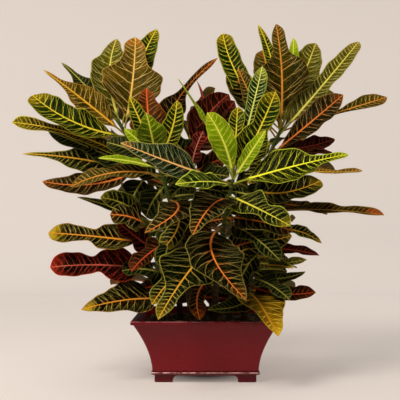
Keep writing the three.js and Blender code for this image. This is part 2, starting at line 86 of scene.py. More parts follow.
# The soil in the pot, in millimetres
SOIL_LEVEL = 90.0
SOIL_SWELL = 2.2
SOIL_GRID = 110
SOIL_RINGS = (70, 45)
CRUMB_HEIGHT = 1.5
CRUMB_SIZE = 7.0
EDGE_DIP = 1.2
EDGE_FROM = 0.9
LITTER_CLEARANCE = 1.5
LITTER_RISE = 0.15
GAP = 0.3

# The leafy stems, in millimetres
ROOT_LEVEL = 45.0
STRAIGHT_TO = 97.0
STEM_FOOT_RADIUS = 5.6
STEM_TIP_RADIUS = 3.0
STEM_ROWS = 60
ROOT_ROWS = 8
CURVE_STEPS = 400
STEM_SIDES = 12
SCAR_SPACING = 9.0
SCAR_SWELL = 0.05
SCAR_WIDTH = 0.14

# The leaves, in millimetres or as shares of a leaf's own length and width
PETIOLE_RADIUS = 1.6
PETIOLE_SHARE = 0.16
STALK_ROWS = 6
LEAST_ROWS = 24
FULL_LENGTH = 130
COLUMN_CROWDING = 1.2
STALK_END = -0.03
BLADE_FULL = 0.1
FOLD = 0.24
FOLD_POWER = 1.5
WAVE = 3.2
WAVES = 2.3
WAVE_SKEW = 0.31
SMALL_WAVE = 0.22
SMALL_WAVES = 5.5
FRILL = 0.035
FRILLS = 5.2
FRILL_SKEW = 0.4
FULL_WAVE_HALF = 20
LEAST_HALF = 0.25
SIDE_SHIFT = 0.03
GOLDEN = 0.618
ROUND_FROM = 0.84
ROUNDNESS = 0.36
EDGE_THINNING = 0.4
RIDGE_WIDTH = 1.7
RIDGE_THINNING = 0.55
RIDGE_ABOVE = 0.35
RIDGE_BELOW = 1.1

# The veins: lengths in millimetres, texture scales to the millimetre, the rest shares
COUNT_FROM = -0.6
COUNT_TO = 1.1
COUNT_STEPS = 400
VEIN_WIDTH_SHARE = 0.37
VEIN_LEAST = 2.0
VEIN_MOST = 18.0
WIDE_SPACING = 14
CLOSE_SPACING = 7
SLANT_AT_BASE = 0.66
SLANT_LOSS = 0.34
SLANT_FROM = 0.1
SLANT_TO = 0.75
VEIN_BEND = 0.28
VEIN_STRAY = 7.0
STRAY_SCALE = 0.075
VEIN_SHUFFLE = 0.34
SIDE_OFFSET = 0.22
FORK_FROM = 0.12
FORK_SPREAD = 0.45
VEIN_TAPER = 0.66
RIB_TAPER = 0.7
NET_SCALE = 0.13
MARGIN_FULL = 0.9
MARGIN_END = 1.9
TIP_FROM = 0.8
BLOTCH_SCALE = 0.035
GRAIN_SCALE = 1.1

# The studio, in metres
STUDIO_RADIUS = 2.6
STUDIO_CURVE = 0.9
STUDIO_HEIGHT = 3.0
STUDIO_SIDES = 96
PAPER_SHARE = 0.71
PAPER_SHADE = 0.67
# The floor's glow is painted light: SHADE_FROM and SHADE_TO fade it out under the pot as a painted contact
# shadow, and GLOW_SLOPE makes it brighter to the left
SHADE_FROM = 0.02
SHADE_TO = 0.11
GLOW_FROM = 0.5
GLOW_TO = 2.2
GLOW_SLOPE = -0.04
WORLD_STRENGTH = 0.07
PLANT_MIDDLE = (0.0, 0.0, 0.32)

# Each light: name, place, size, power, tint and whether it shows in reflections
LIGHTS = (
    ("key", (-1.1, -1.25, 2.0), 1.1, 50.0, (1.0, 0.97, 0.93), True),
    ("fill", (1.3, -1.6, 0.6), 1.6, 6.5, (1.0, 0.98, 0.96), False),
    ("top", (-0.2, 0.4, 2.3), 1.8, 13.0, (1.0, 0.98, 0.96), False),
    ("back", (0.7, 1.4, 1.3), 1.2, 5.5, (1.0, 0.98, 0.96), False),
)

# The photograph's view, in pixels of a 400 by 400 picture
IMAGE_PIXELS = 400
FOCAL_PIXELS = 719
HORIZON_PIXELS = 230.5
CENTRE_PIXELS = 205.4
SENSOR_WIDTH = 36

Leaf = namedtuple(
    "Leaf", "level x y z width bow turn rise outline colouring sway stalk", defaults=(0, PETIOLE_SHARE))

# Half-width of a blade from its base to its tip, as a share of the widest place
OUTLINES = {
    "tongue": (0.12, 0.62, 0.92, 1, 1, 0.93, 0.78, 0.5, 0),
    "oak": (0.12, 0.7, 1, 0.93, 0.6, 0.6, 0.72, 0.56, 0),
    "paddle": (0.1, 0.4, 0.62, 0.8, 0.95, 1, 0.95, 0.66, 0),
    "tail": (0.12, 0.6, 0.95, 1, 0.78, 0.4, 0.2, 0.13, 0),
    "dagger": (0.14, 0.6, 0.9, 1, 0.94, 0.8, 0.6, 0.35, 0),
    "spoon": (0.3, 0.55, 0.45, 0.26, 0.28, 0.6, 1, 0.85, 0),
    "lobed": (0.12, 0.5, 0.86, 1, 0.95, 0.5, 0.38, 0.33, 0),
    "ovate": (0.14, 0.48, 0.76, 0.94, 1, 0.97, 0.84, 0.58, 0),
    "broad": (0.2, 0.8, 1, 0.96, 0.84, 0.68, 0.48, 0.3, 0),
    "spade": (0.14, 0.5, 0.8, 0.95, 1, 0.95, 0.62, 0.36, 0),
    "cross": (0.12, 0.42, 0.8, 1, 0.92, 0.42, 0.28, 0.25, 0),
    "double": (0.12, 0.5, 0.85, 1, 0.98, 0.8, 0.46, 0.5, 0.62, 0.7, 0.7, 0.5, 0),
    "chain": (0.15, 0.55, 0.85, 1, 0.98, 0.9, 0.75, 0.6, 0.64, 0.86, 1, 0.85, 0),
    "club": (0.12, 0.45, 0.7, 0.88, 0.96, 1, 0.98, 0.96, 0.95, 0.93, 0.86, 0.68, 0),
    "strap": (0.12, 0.6, 0.95, 1, 0.86, 0.74, 0.7, 0.72, 0.74, 0.72, 0.64, 0.46, 0),
    "drawn": (0.12, 0.4, 0.66, 0.86, 0.97, 1, 0.97, 0.8, 0.36, 0.25, 0.23, 0.21, 0),
}

# Each stem: foot x and y, the point it bends towards, its crown, then its leaves. A leaf is:
# level on the stem, tip x, y and z, width, rise of the midrib's middle off the straight line,
# turn and rise of the way its face looks, outline, colouring, then if it needs them a
# sideways bow and the share that is leaf stalk.
STEMS = {
    "left_tall": ((-44, 12), (-62, 8, 300), (-158, 5, 446), (
        (430, -167, 70, 609, 68, 12, 0, 15, "spade", "olive", 16),
        (425, -128, 30, 601, 108, 10, 0, 12, "lobed", "copper", -6),
        (432, -92, 75, 629, 48, 8, 0, 12, "tongue", "greenyellow", 6),
        (428, -269, 60, 562, 60, 10, -10, 40, "tail", "darkgreen"),
        (415, -291, 10, 536, 60, 8, -10, 40, "tail", "ochre", 2),
        (415, -301, -30, 483, 56, 10, 0, 35, "club", "greenyellow", 26),
        (360, -333, -40, 434, 29, 10, 0, 35, "chain", "yellowedge", -12),
        (347, -314, -40, 380, 66, 8, 0, 28, "tail", "darkyellow", -4),
        (350, -278, -10, 424, 50, 10, 0, 30, "oak", "darkgreen", 4),
        (360, -282, -30, 333, 44, 8, 0, 30, "tongue", "darkorange", 26),
        (250, -227, 0, 307, 18, 8, 0, 10, "dagger", "darkgreen", -4),
        (410, -250, 110, 520, 50, 14, 200, 50, "oak", "olive"),
        (390, -215, 165, 430, 54, 16, 190, 50, "oak", "darkyellow"),
        (350, -270, 110, 330, 50, 16, 200, 60, "oak", "darkorange"),
        (425, -150, 185, 500, 52, 14, 180, 40, "tongue", "bronze"),
        (320, -190, 165, 300, 50, 16, 190, 60, "oak", "darkgreen"),
        (345, -136, -8, 280, 54, 10, -10, 30, "oak", "darkgreen"),
    )),
    "left_front": ((-24, -24), (-40, -30, 260), (-91, -50, 388), (
        (375, -130, -50, 476, 29, 6, 0, 15, "tongue", "greenyellow"),
        (372, -98, -85, 443, 50, 10, 0, 30, "spade", "leafgreen"),
        (365, -48, -60, 468, 36, 5, 0, 12, "tongue", "greenyellow", -8),
        (380, -104, -10, 499, 66, 8, 0, 18, "broad", "redbronze", 2),
        (352, -176, -90, 367, 18, 6, 0, 40, "tongue", "lime"),
        (372, -137, -60, 420, 24, 4, 0, 20, "tongue", "lime"),
        (366, -173, -20, 402, 42, 6, -10, 30, "ovate", "darkgreen"),
        (340, -222, -90, 320, 46, 20, 0, 45, "oak", "bronze"),
        (300, -96, -130, 244, 70, 18, 0, 40, "broad", "nightorange", 32),
        (250, -68, -116, 185, 50, 14, -10, 35, "oak", "darkgreen"),
        (230, -120, -105, 182, 48, 14, -20, 35, "oak", "darkred"),
        (175, -85, -118, 130, 46, 14, -10, 30, "oak", "darkyellow"),
        (330, -152, -20, 360, 42, 12, -10, 40, "oak", "darkgreen"),
        (325, -102, -32, 271, 52, 8, -10, 30, "ovate", "darkgreen"),
        (290, -71, -90, 216, 54, 10, -10, 25, "oak", "darkyellow", 22),
    )),
    "low_left": ((-66, -30), (-74, -34, 190), (-104, -50, 262), (
        (256, -177, -62, 303, 40, 10, 0, 35, "ovate", "limenet", -8),
        (258, -158, -80, 274, 59, 10, 0, 30, "oak", "nightorange"),
        (215, -147, -60, 262, 46, 8, 0, 35, "oak", "wine", 6),
        (225, -262, -70, 244, 54, 10, 0, 35, "double", "yellowtip", 4),
        (178, -261, -60, 186, 66, 8, 0, 30, "double", "red", -4),
        (130, -199, -110, 121, 74, 12, 0, 45, "broad", "yellowtip", 2),
        (175, -140, -60, 180, 48, 8, -10, 40, "oak", "darkgreen"),
        (225, -200, 20, 230, 46, 12, -60, 55, "oak", "darkgreen"),
        (180, -150, 112, 168, 48, 14, 190, 45, "oak", "darkgreen"),
        (150, -172, 40, 150, 48, 12, 180, 60, "oak", "darkorange"),
        (190, -65, -28, 142, 48, 10, 0, 30, "oak", "darkgreen"),
    )),
    "back_tall": ((-10, 44), (-14, 50, 280), (-29, 65, 407), (
        (340, 23, 95, 578, 72, -20, 0, 80, "drawn", "darkorange", 94),
        (405, -16, 80, 531, 10, 3, 0, 20, "dagger", "wine", -20),
        (392, 44, 60, 501, 62, 8, 0, 20, "ovate", "wine", 10),
        (380, 54, 50, 487, 50, 8, 10, 15, "oak", "wine"),
        (365, -4, 10, 425, 40, 6, 0, 35, "oak", "winepink"),
        (400, -60, 198, 480, 54, 14, 180, 45, "oak", "darkyellow"),
        (405, 20, 195, 540, 52, 12, 180, 40, "oak", "bronze"),
        (370, -80, 202, 385, 50, 16, 180, 55, "oak", "darkorange"),
        (360, 40, 202, 400, 54, 16, 180, 55, "oak", "darkyellow"),
        (320, -90, 188, 310, 50, 16, 180, 60, "oak", "darkgreen"),
        (372, -72, 50, 429, 54, 8, -10, 25, "oak", "darkgreen"),
        (352, 37, 38, 380, 56, 8, 10, 25, "oak", "darkred"),
        (340, -87, 48, 347, 59, 8, -10, 30, "oak", "darkgreen"),
        (345, 42, 0, 343, 54, 8, 10, 25, "oak", "darkgreen"),
        (330, -66, 20, 306, 59, 8, -10, 25, "oak", "darkgreen"),
        (322, 47, 36, 311, 59, 10, 10, 30, "oak", "darkgreen"),
        (270, -17, 18, 192, 52, 10, 0, 25, "oak", "darkred"),
        (238, -65, 44, 179, 54, 10, -10, 30, "oak", "darkgreen"),
        (185, -57, 40, 121, 52, 10, 0, 30, "oak", "darkorange"),
    )),
    "right_tall": ((42, 12), (70, 14, 300), (137, 15, 431), (
        (425, 128, 20, 622, 92, 10, 0, 12, "cross", "bronze", -6),
        (430, 99, 60, 633, 24, 4, 0, 15, "tongue", "greenyellow", -10),
        (428, 32, 50, 613, 41, 10, 0, 12, "club", "greenyellow", 20),
        (420, 51, 30, 545, 52, 8, 0, 15, "paddle", "nightorange", 12),
        (412, 58, 5, 538, 44, 8, 0, 15, "broad", "bronze", 6),
        (425, 110, 100, 594, 56, 8, 0, 20, "ovate", "bronze"),
        (430, 166, 75, 612, 27, 5, 0, 15, "tongue", "lime", -6),
        (425, 211, 90, 605, 55, 10, 0, 20, "ovate", "olive", -2),
        (415, 280, 30, 592, 46, 10, 0, 35, "strap", "olive", -6),
        (380, 241, -20, 485, 50, 8, 0, 35, "paddle", "darkorange", -6),
        (425, 325, 10, 486, 36, 8, 0, 38, "spoon", "bronze", -6),
        (392, 231, 10, 411, 40, 8, 0, 45, "ovate", "wine", -18),
        (385, 227, 20, 389, 40, 6, 0, 60, "ovate", "wine", -14),
        (370, 273, -20, 352, 20, 8, 0, 60, "chain", "ochre", -38),
        (320, 198, -40, 333, 56, 10, 0, 35, "club", "darkyellow", -24),
        (280, 300, -60, 274, 38, 10, 0, 65, "club", "redtip", -6),
        (290, 218, 15, 277, 42, 12, 40, 50, "oak", "darkorange"),
        (300, 40, 95, 330, 46, 12, 180, 45, "oak", "darkgreen"),
        (375, 75, -10, 330, 46, 10, 0, 35, "oak", "darkyellow"),
        (415, 250, 120, 515, 52, 14, 170, 50, "oak", "olive"),
        (390, 200, 180, 430, 54, 16, 170, 50, "oak", "darkyellow"),
        (360, 250, 105, 357, 50, 16, 165, 60, "oak", "darkorange"),
        (425, 120, 190, 520, 52, 14, 180, 40, "oak", "bronze"),
        (330, 170, 185, 320, 52, 16, 170, 60, "oak", "darkgreen"),
        (405, 92, 44, 388, 56, 8, 0, 25, "oak", "darkgreen"),
        (365, 91, 30, 310, 54, 8, 0, 30, "oak", "darkgreen"),
        (395, 183, 40, 362, 50, 8, 20, 30, "oak", "darkred"),
        (345, 125, 0, 277, 52, 10, 10, 30, "oak", "darkgreen"),
    )),
    "front_right": ((14, -38), (22, -50, 230), (46, -80, 333), (
        (332, 3, -110, 439, 42, 6, -10, 15, "ovate", "lime", -8),
        (333, -46, -60, 505, 26, 4, 70, 5, "dagger", "lime"),
        (335, 99, -30, 533, 42, 6, 0, 15, "oak", "greenpale", -2),
        (330, 118, -70, 481, 56, 6, 0, 20, "oak", "greenyellow", -4),
        (333, 55, -55, 458, 38, 6, 0, 15, "oak", "greenyellow"),
        (330, 98, -110, 410, 24, 4, 0, 20, "tongue", "lime"),
        (325, 231, -110, 371, 72, 16, 0, 38, "drawn", "brightgreen", -10),
        (320, -47, -150, 320, 46, 16, 0, 45, "paddle", "limeedge", 12),
        (325, -136, -124, 388, 62, 12, -10, 35, "broad", "salmon", 12, 0.34),
        (305, 132, -150, 255, 58, 14, 0, 38, "oak", "limenet", -8),
        (270, 139, -120, 247, 62, 12, 0, 38, "oak", "nightorange", -4),
        (195, 143, -80, 239, 56, 10, 0, 30, "oak", "darkyellow"),
        (300, -19, -170, 241, 70, 18, -10, 35, "broad", "nightorange", -2),
        (255, 61, -196, 144, 84, 22, 8, 28, "spade", "nightorange", -38),
        (235, -70, -196, 116, 96, 12, -10, 24, "cross", "darkyellow", -4),
        (170, -9, -112, 105, 40, 8, 0, 25, "oak", "salmontip", -18),
        (205, 105, -95, 233, 50, 10, 20, 35, "oak", "nightorange"),
        (270, 68, -30, 302, 46, 8, 20, 30, "oak", "darkgreen"),
        (326, 76, -20, 314, 56, 8, 20, 30, "ovate", "darkgreen"),
        (262, 118, -128, 200, 50, 12, 10, 40, "oak", "darkgreen"),
        (285, 116, -88, 256, 50, 12, 0, 45, "oak", "darkgreen"),
    )),
    "low_right": ((66, -30), (76, -32, 180), (100, -36, 250), (
        (245, 195, -60, 227, 26, 10, 0, 50, "tongue", "darkyellow", 8),
        (215, 192, -50, 206, 27, 6, 0, 55, "tongue", "wine"),
        (195, 164, -100, 201, 30, 6, 0, 40, "oak", "olive", -14),
        (185, 140, -120, 188, 28, 5, 0, 40, "dagger", "darkyellow"),
        (170, 170, -40, 178, 24, 5, 0, 40, "dagger", "darkgreen", -14),
        (155, 180, -90, 147, 46, 8, 0, 40, "oak", "darkred", -18),
        (152, 4, -118, 122, 34, 8, 0, 35, "tongue", "darkgreen", 26),
        (140, 111, -165, 87, 90, 20, 20, 30, "broad", "goldstripe", -10),
        (200, 158, 20, 183, 46, 12, 60, 50, "oak", "darkyellow"),
        (165, 134, -118, 138, 42, 10, 10, 35, "oak", "darkgreen"),
        (230, 165, 100, 265, 50, 14, 170, 55, "oak", "darkorange"),
        (160, 165, 70, 138, 46, 12, 170, 60, "oak", "darkgreen"),
        (215, 52, -48, 150, 48, 10, 0, 30, "oak", "darkgreen"),
    )),
    "low_back": ((12, 78), (12, 80, 180), (8, 92, 262), (
        (255, -80, 192, 235, 54, 14, 180, 55, "oak", "darkyellow"),
        (250, 75, 194, 225, 54, 14, 180, 55, "oak", "darkorange"),
        (200, 0, 200, 160, 52, 14, 180, 55, "oak", "red"),
        (190, -115, 170, 150, 48, 12, 190, 55, "oak", "darkgreen"),
        (180, 115, 165, 150, 48, 12, 170, 55, "oak", "yellowtip"),
        (260, 0, 150, 345, 44, 10, 180, 45, "oak", "darkgreen"),
        (235, -160, 110, 250, 48, 14, 200, 55, "oak", "darkorange"),
        (225, 160, 115, 245, 48, 14, 160, 55, "oak", "darkgreen"),
        (150, 40, 190, 118, 44, 12, 180, 50, "oak", "wine"),
        (180, 78, 52, 124, 50, 10, 0, 30, "oak", "darkgreen"),
        (190, 22, 60, 113, 44, 8, 0, 25, "ovate", "darkgreen"),
    )),
}

# Small leaves deep inside the plant, which the solids leave out, each written as in STEMS
INNER_LEAVES = {
    "left_tall": (
        (330, -54, 34, 314, 30, 4, -10, 30, "oak", "darkgreen"),
        (250, -114, 26, 236, 26, 5, -10, 35, "oak", "darkgreen"),
    ),
    "left_front": (
        (304, -12, 30, 312, 28, 4, 10, 30, "oak", "darkgreen"),
        (326, -112, 28, 343, 30, 4, -10, 30, "oak", "darkorange"),
    ),
    "low_left": ((154, -128, 4, 136, 36, 6, -10, 35, "oak", "darkred"),),
    "back_tall": (
        (308, -70, 66, 297, 30, 5, -10, 30, "oak", "darkgreen"),
        (258, 54, 46, 270, 34, 6, 10, 30, "oak", "darkorange"),
        (126, 42, 58, 122, 30, 4, 0, 25, "oak", "darkred"),
        (150, 104, 40, 138, 32, 4, 0, 30, "oak", "darkgreen"),
    ),
    "right_tall": (
        (308, 26, 38, 320, 28, 5, 10, 30, "oak", "darkgreen"),
        (216, 118, 20, 190, 30, 4, 0, 30, "oak", "darkorange"),
        (190, 114, 18, 158, 28, 4, 0, 30, "oak", "darkgreen"),
    ),
    "low_right": (
        (180, 144, 6, 176, 28, 5, 10, 35, "oak", "darkgreen"),
        (146, 114, 6, 134, 30, 5, 10, 30, "oak", "darkorange"),
        (202, 128, 0, 199, 28, 5, 10, 30, "oak", "darkgreen"),
    ),
    "low_back": (
        (120, -64, 48, 124, 36, 4, 0, 25, "oak", "darkgreen"),
        (118, 76, 58, 134, 30, 4, 0, 25, "oak", "darkred"),
    ),
}

# Colours of a leaf as the eye sees them, 0 to 255: ground, darker ground, side veins, midrib,
# margin, tip, then how strong the veins, the fine net and the coloured tip are
COLOURINGS = {
    "olive": ((96, 90, 4), (48, 48, 2), (228, 212, 124), (236, 218, 98), (176, 154, 56),
        (150, 110, 24), 0.85, 0.1, 0.35),
    "copper": ((116, 88, 7), (54, 45, 3), (236, 198, 122), (252, 202, 106), (184, 140, 54),
        (208, 118, 30), 0.9, 0.1, 0.5),
    "bronze": ((68, 60, 3), (27, 25, 1), (212, 172, 90), (230, 150, 60), (130, 98, 36),
        (152, 88, 20), 0.9, 0.1, 0.4),
    "ochre": ((100, 76, 3), (42, 35, 1), (234, 188, 86), (240, 176, 52), (170, 120, 38),
        (164, 104, 22), 0.9, 0.2, 0.4),
    "darkgreen": ((12, 26, 3), (4, 9, 1), (136, 134, 68), (166, 156, 64), (110, 108, 42),
        (70, 68, 14), 0.7, 0.05, 0.3),
    "greenyellow": ((21, 46, 3), (7, 17, 1), (222, 212, 58), (244, 216, 54), (178, 170, 44),
        (206, 162, 26), 0.95, 0.05, 0.4),
    "lime": ((140, 168, 5), (98, 126, 3), (234, 232, 82), (240, 238, 90), (184, 196, 50),
        (212, 208, 46), 0.7, 0.1, 0.3),
    "leafgreen": ((98, 126, 4), (52, 68, 2), (206, 204, 70), (230, 218, 72), (140, 150, 40),
        (160, 152, 28), 0.8, 0.1, 0.3),
    "darkyellow": ((8, 20, 1), (3, 5, 0), (196, 184, 86), (232, 172, 52), (176, 164, 58),
        (206, 166, 26), 0.85, 0.06, 0.3),
    "darkorange": ((26, 21, 1), (9, 7, 1), (176, 136, 74), (230, 124, 52), (122, 90, 40),
        (186, 90, 24), 0.8, 0.05, 0.25),
    "nightorange": ((9, 17, 1), (3, 4, 0), (184, 160, 80), (236, 132, 54), (150, 134, 56),
        (206, 104, 26), 0.85, 0.05, 0.12),
    "wine": ((44, 10, 3), (15, 4, 1), (150, 66, 42), (176, 68, 46), (104, 42, 24),
        (124, 46, 20), 0.75, 0.1, 0.3),
    "winepink": ((70, 8, 3), (24, 3, 2), (206, 100, 80), (230, 134, 104), (140, 54, 36),
        (150, 50, 32), 0.85, 0.1, 0.3),
    "redbronze": ((84, 42, 4), (34, 18, 2), (208, 122, 56), (238, 104, 50), (150, 76, 28),
        (222, 76, 24), 0.8, 0.1, 0.4),
    "yellowedge": ((24, 24, 2), (8, 8, 1), (236, 200, 64), (250, 206, 56), (226, 206, 62),
        (228, 206, 44), 0.95, 0.1, 0.2),
    "yellowtip": ((9, 11, 1), (3, 3, 0), (204, 180, 84), (240, 156, 48), (176, 132, 48),
        (234, 190, 26), 0.88, 0.12, 0.6),
    "red": ((22, 8, 2), (7, 3, 1), (196, 60, 42), (222, 100, 76), (190, 62, 36),
        (186, 40, 18), 0.82, 0.25, 0.55),
    "darkred": ((20, 12, 1), (6, 4, 1), (146, 80, 38), (204, 78, 38), (108, 52, 24),
        (148, 50, 20), 0.85, 0.1, 0.3),
    "greenpale": ((22, 50, 3), (7, 20, 1), (230, 236, 136), (242, 242, 118), (150, 176, 56),
        (212, 206, 60), 1.0, 0.1, 0.5),
    "brightgreen": ((4, 24, 1), (1, 8, 0), (234, 232, 60), (250, 244, 58), (196, 208, 54),
        (214, 216, 38), 1.0, 0.06, 0.3),
    "limeedge": ((12, 36, 2), (4, 15, 1), (186, 200, 70), (226, 224, 76), (218, 222, 60),
        (206, 214, 42), 0.85, 0.1, 0.4),
    "limenet": ((8, 25, 2), (3, 6, 0), (190, 186, 74), (230, 216, 70), (196, 194, 62),
        (226, 198, 36), 0.85, 0.12, 0.25),
    "salmon": ((17, 46, 13), (6, 19, 6), (190, 188, 128), (248, 188, 110), (170, 160, 74),
        (218, 134, 52), 0.85, 0.08, 0.4),
    "salmontip": ((12, 12, 1), (4, 4, 1), (144, 98, 42), (222, 116, 52), (102, 72, 26),
        (184, 84, 36), 0.75, 0.1, 0.7),
    "goldstripe": ((176, 128, 8), (14, 11, 1), (252, 214, 72), (240, 164, 52), (228, 184, 50),
        (240, 196, 32), 1.0, 0.1, 0.8),
    "redtip": ((58, 44, 5), (24, 19, 2), (186, 138, 52), (214, 154, 52), (184, 154, 48),
        (178, 68, 32), 0.85, 0.1, 0.8),
}


def linear(value):
    """An 8-bit colour value as the eye sees it, in linear light."""
    part = value / 255
    return part / 12.92 if part <= 0.04045 else ((part + 0.055) / 1.055) ** 2.4


def colour(values):
    return (*(linear(v) for v in values), 1.0)


class PotSettings(bpy.types.PropertyGroup):
    glaze: FloatVectorProperty(
        name="Glaze", description="Colour of the glaze on the body", subtype="COLOR",
        size=3, min=0, max=1, default=colour((123, 4, 16))[:3])
    # The pooled glaze colour is painted shade up the body under the rim, and the darker glaze of the rim
    # band and of the base from the bead down
    glaze_dark: FloatVectorProperty(
        name="Pooled glaze", description="Colour where the glaze runs thick", subtype="COLOR",
        size=3, min=0, max=1, default=colour((82, 0, 6))[:3])
    # The thin glaze colour is a painted highlight: the pale glints on the bead's crest and the lip's edge
    glaze_glint: FloatVectorProperty(
        name="Thin glaze", description="Colour where the glaze breaks thin over an edge", subtype="COLOR",
        size=3, min=0, max=1, default=colour((255, 206, 196))[:3])
    corner_radius: FloatProperty(
        name="Corner radius", description="Rounding of the pot's upright corners",
        default=CORNER_RADIUS * MM, unit="LENGTH")
    wall: FloatProperty(
        name="Wall", description="Thickness of the wall", default=WALL * MM, unit="LENGTH")


class SoilSettings(bpy.types.PropertyGroup):
    soil: FloatVectorProperty(
        name="Soil", description="Colour of the damp soil", subtype="COLOR",
        size=3, min=0, max=1, default=colour((50, 36, 22))[:3])
    moss: FloatVectorProperty(
        name="Moss", description="Colour of the moss on the soil", subtype="COLOR",
        size=3, min=0, max=1, default=colour((84, 82, 26))[:3])
    bits: IntProperty(
        name="Bits", description="Pieces of bark strewn on the soil", default=420, min=0)
    tufts: IntProperty(
        name="Moss tufts", description="Tufts of moss on the soil", default=260, min=0)


class LeafSettings(bpy.types.PropertyGroup):
    rows: IntProperty(name="Rows", description="Mesh rows along a large leaf", default=56, min=12)
    columns: IntProperty(
        name="Columns", description="Mesh columns from midrib to edge", default=10, min=3)
    edge: FloatProperty(
        name="Edge thickness", description="Thickness of a leaf near its edge",
        default=0.7 * MM, unit="LENGTH")
    vein_spacing: FloatProperty(
        name="Vein spacing", description="Least distance between the main side veins",
        default=6.4 * MM, unit="LENGTH")
    vein_width: FloatProperty(
        name="Vein width", description="Width of a side vein where it leaves the midrib",
        default=1.24 * MM, unit="LENGTH")
    rib_width: FloatProperty(
        name="Midrib width", description="Width of the midrib at the base of the blade",
        default=4.2 * MM, unit="LENGTH")
    gloss: FloatProperty(
        name="Roughness", description="Roughness of the leaves' upper face",
        default=0.34, min=0, max=1)


class StageSettings(bpy.types.PropertyGroup):
    backdrop: FloatVectorProperty(
        name="Backdrop", description="Colour of the floor and wall", subtype="COLOR",
        size=3, min=0, max=1, default=colour((226, 214, 204))[:3])
    wall_glow: FloatProperty(
        name="Wall glow", description="Light that the paper far behind the plant gives of itself",
        default=0.65, min=0)
    floor_glow: FloatProperty(
        name="Floor glow", description="Light that the floor near the plant gives of itself",
        default=0.445, min=0)
    camera_distance: FloatProperty(
        name="Camera distance", description="From the camera to the pot's middle",
        default=1.27, unit="LENGTH")
    camera_height: FloatProperty(
        name="Camera height", description="Height of the camera over the floor",
        default=0.248, unit="LENGTH")


class Nodes:
    """A node tree with short calls for the nodes that the materials need."""

    def __init__(self, tree):
        self.tree = tree

    def add(self, kind, **values):
        node = self.tree.nodes.new(kind)
        for name, value in values.items():
            setattr(node, name, value)
        return node

    def put(self, socket, value):
        if isinstance(value, bpy.types.NodeSocket):
            self.tree.links.new(value, socket)
        else:
            socket.default_value = value

    def fill(self, node, values):
        """Gives a node its values by the names of its sockets."""
        for name, value in values.items():
            self.put(node.inputs[name], value)

    def feed(self, node, *values):
        """Gives a node its values in the order of its sockets, and returns what comes out."""
        for socket, value in zip(node.inputs, values):
            self.put(socket, value)
        return node.outputs[0]

    def math(self, operation, *values, clamp=False):
        return self.feed(self.add("ShaderNodeMath", operation=operation, use_clamp=clamp), *values)

    def times(self, value, *others):
        for other in others:
            value = self.math("MULTIPLY", value, other)
        return value

    def plus(self, a, b, clamp=False):
        return self.math("ADD", a, b, clamp=clamp)

    def minus(self, a, b):
        return self.math("SUBTRACT", a, b)

    def line(self, value, slope, start, clamp=False):
        """The value times the slope, added to the start."""
        return self.math("MULTIPLY_ADD", value, slope, start, clamp=clamp)

    def larger(self, a, b):
        return self.math("MAXIMUM", a, b)

    def absolute(self, value):
        return self.math("ABSOLUTE", value)

    def steps(self, value, low, high, start=0.0, end=1.0):
        """A smooth run from start to end as value goes from low to high."""
        node = self.add("ShaderNodeMapRange", interpolation_type="SMOOTHSTEP")
        return self.feed(node, value, low, high, start, end)

    def mix(self, share, a, b):
        node = self.add("ShaderNodeMix", data_type="RGBA")
        self.put(node.inputs["Factor"], share)
        self.put(node.inputs[6], a)
        self.put(node.inputs[7], b)
        return node.outputs[2]

    def join(self, x, y, z):
        return self.feed(self.add("ShaderNodeCombineXYZ"), x, y, z)

    def split(self, vector):
        node = self.add("ShaderNodeSeparateXYZ")
        self.put(node.inputs[0], vector)
        return node.outputs

    def place(self):
        """The shaded point in the piece's own axes, in metres."""
        return self.add("ShaderNodeTexCoord").outputs["Object"]

    def attribute(self, name):
        return self.add("ShaderNodeAttribute", attribute_name=name).outputs["Vector"]

    def noise(self, vector, scale, detail=2.0, roughness=0.5):
        node = self.add("ShaderNodeTexNoise")
        self.fill(node, {"Vector": vector, "Scale": scale, "Detail": detail, "Roughness": roughness})
        return node.outputs["Fac"]

    def cells(self, vector, scale, feature):
        node = self.add("ShaderNodeTexVoronoi", feature=feature)
        self.fill(node, {"Vector": vector, "Scale": scale})
        return node.outputs

    def bump(self, height, strength, distance):
        node = self.add("ShaderNodeBump")
        self.fill(node, {"Strength": strength, "Distance": distance, "Height": height})
        return node.outputs[0]


def new_material(name):
    """A material with an empty Principled surface, its Nodes and its shader."""
    material = bpy.data.materials.new(name)
    material.use_nodes = True
    shader = material.node_tree.nodes["Principled BSDF"]
    return material, Nodes(material.node_tree), shader


def finish_piece(obj, node):
    """Makes a piece ride on the body and stand for its node."""
    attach(obj, BODY)
    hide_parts(node)


def new_object(name, points, faces, material=None, unit=MM):
    """A smooth mesh object from points in millimetres or in another unit."""
    mesh = bpy.data.meshes.new(name)
    mesh.from_pydata((np.array(points, float) * unit).tolist(), [], faces)
    mesh.materials.append(material)
    mesh.polygons.foreach_set("use_smooth", [True] * len(mesh.polygons))
    mesh.update()
    obj = bpy.data.objects.new(name, mesh)
    bpy.context.scene.collection.objects.link(obj)
    return obj


def add_attribute(mesh, name, values):
    """Gives each point of a mesh a vector for its material to read."""
    attribute = mesh.attributes.new(name, "FLOAT_VECTOR", "POINT")
    attribute.data.foreach_set("vector", values.astype(np.float32).ravel())


def grid_faces(rows, columns, closed=False):
    """Quads between rows of points; closed joins the last point of each row to its first."""
    faces = []
    for row in range(rows - 1):
        for i in range(columns if closed else columns - 1):
            a = row * columns + i
            b = row * columns + (i + 1) % columns
            faces.append((a, b, b + columns, a + columns))
    return faces


def loft(rings, close_start=True, close_end=True):
    """Points and faces of a skin over rings of equally many points."""
    n = len(rings[0])
    points = [p for ring in rings for p in ring]
    faces = grid_faces(len(rings), n, closed=True)
    if close_start:
        faces.append(tuple(reversed(range(n))))
    if close_end:
        faces.append(tuple((len(rings) - 1) * n + i for i in range(n)))
    return points, faces


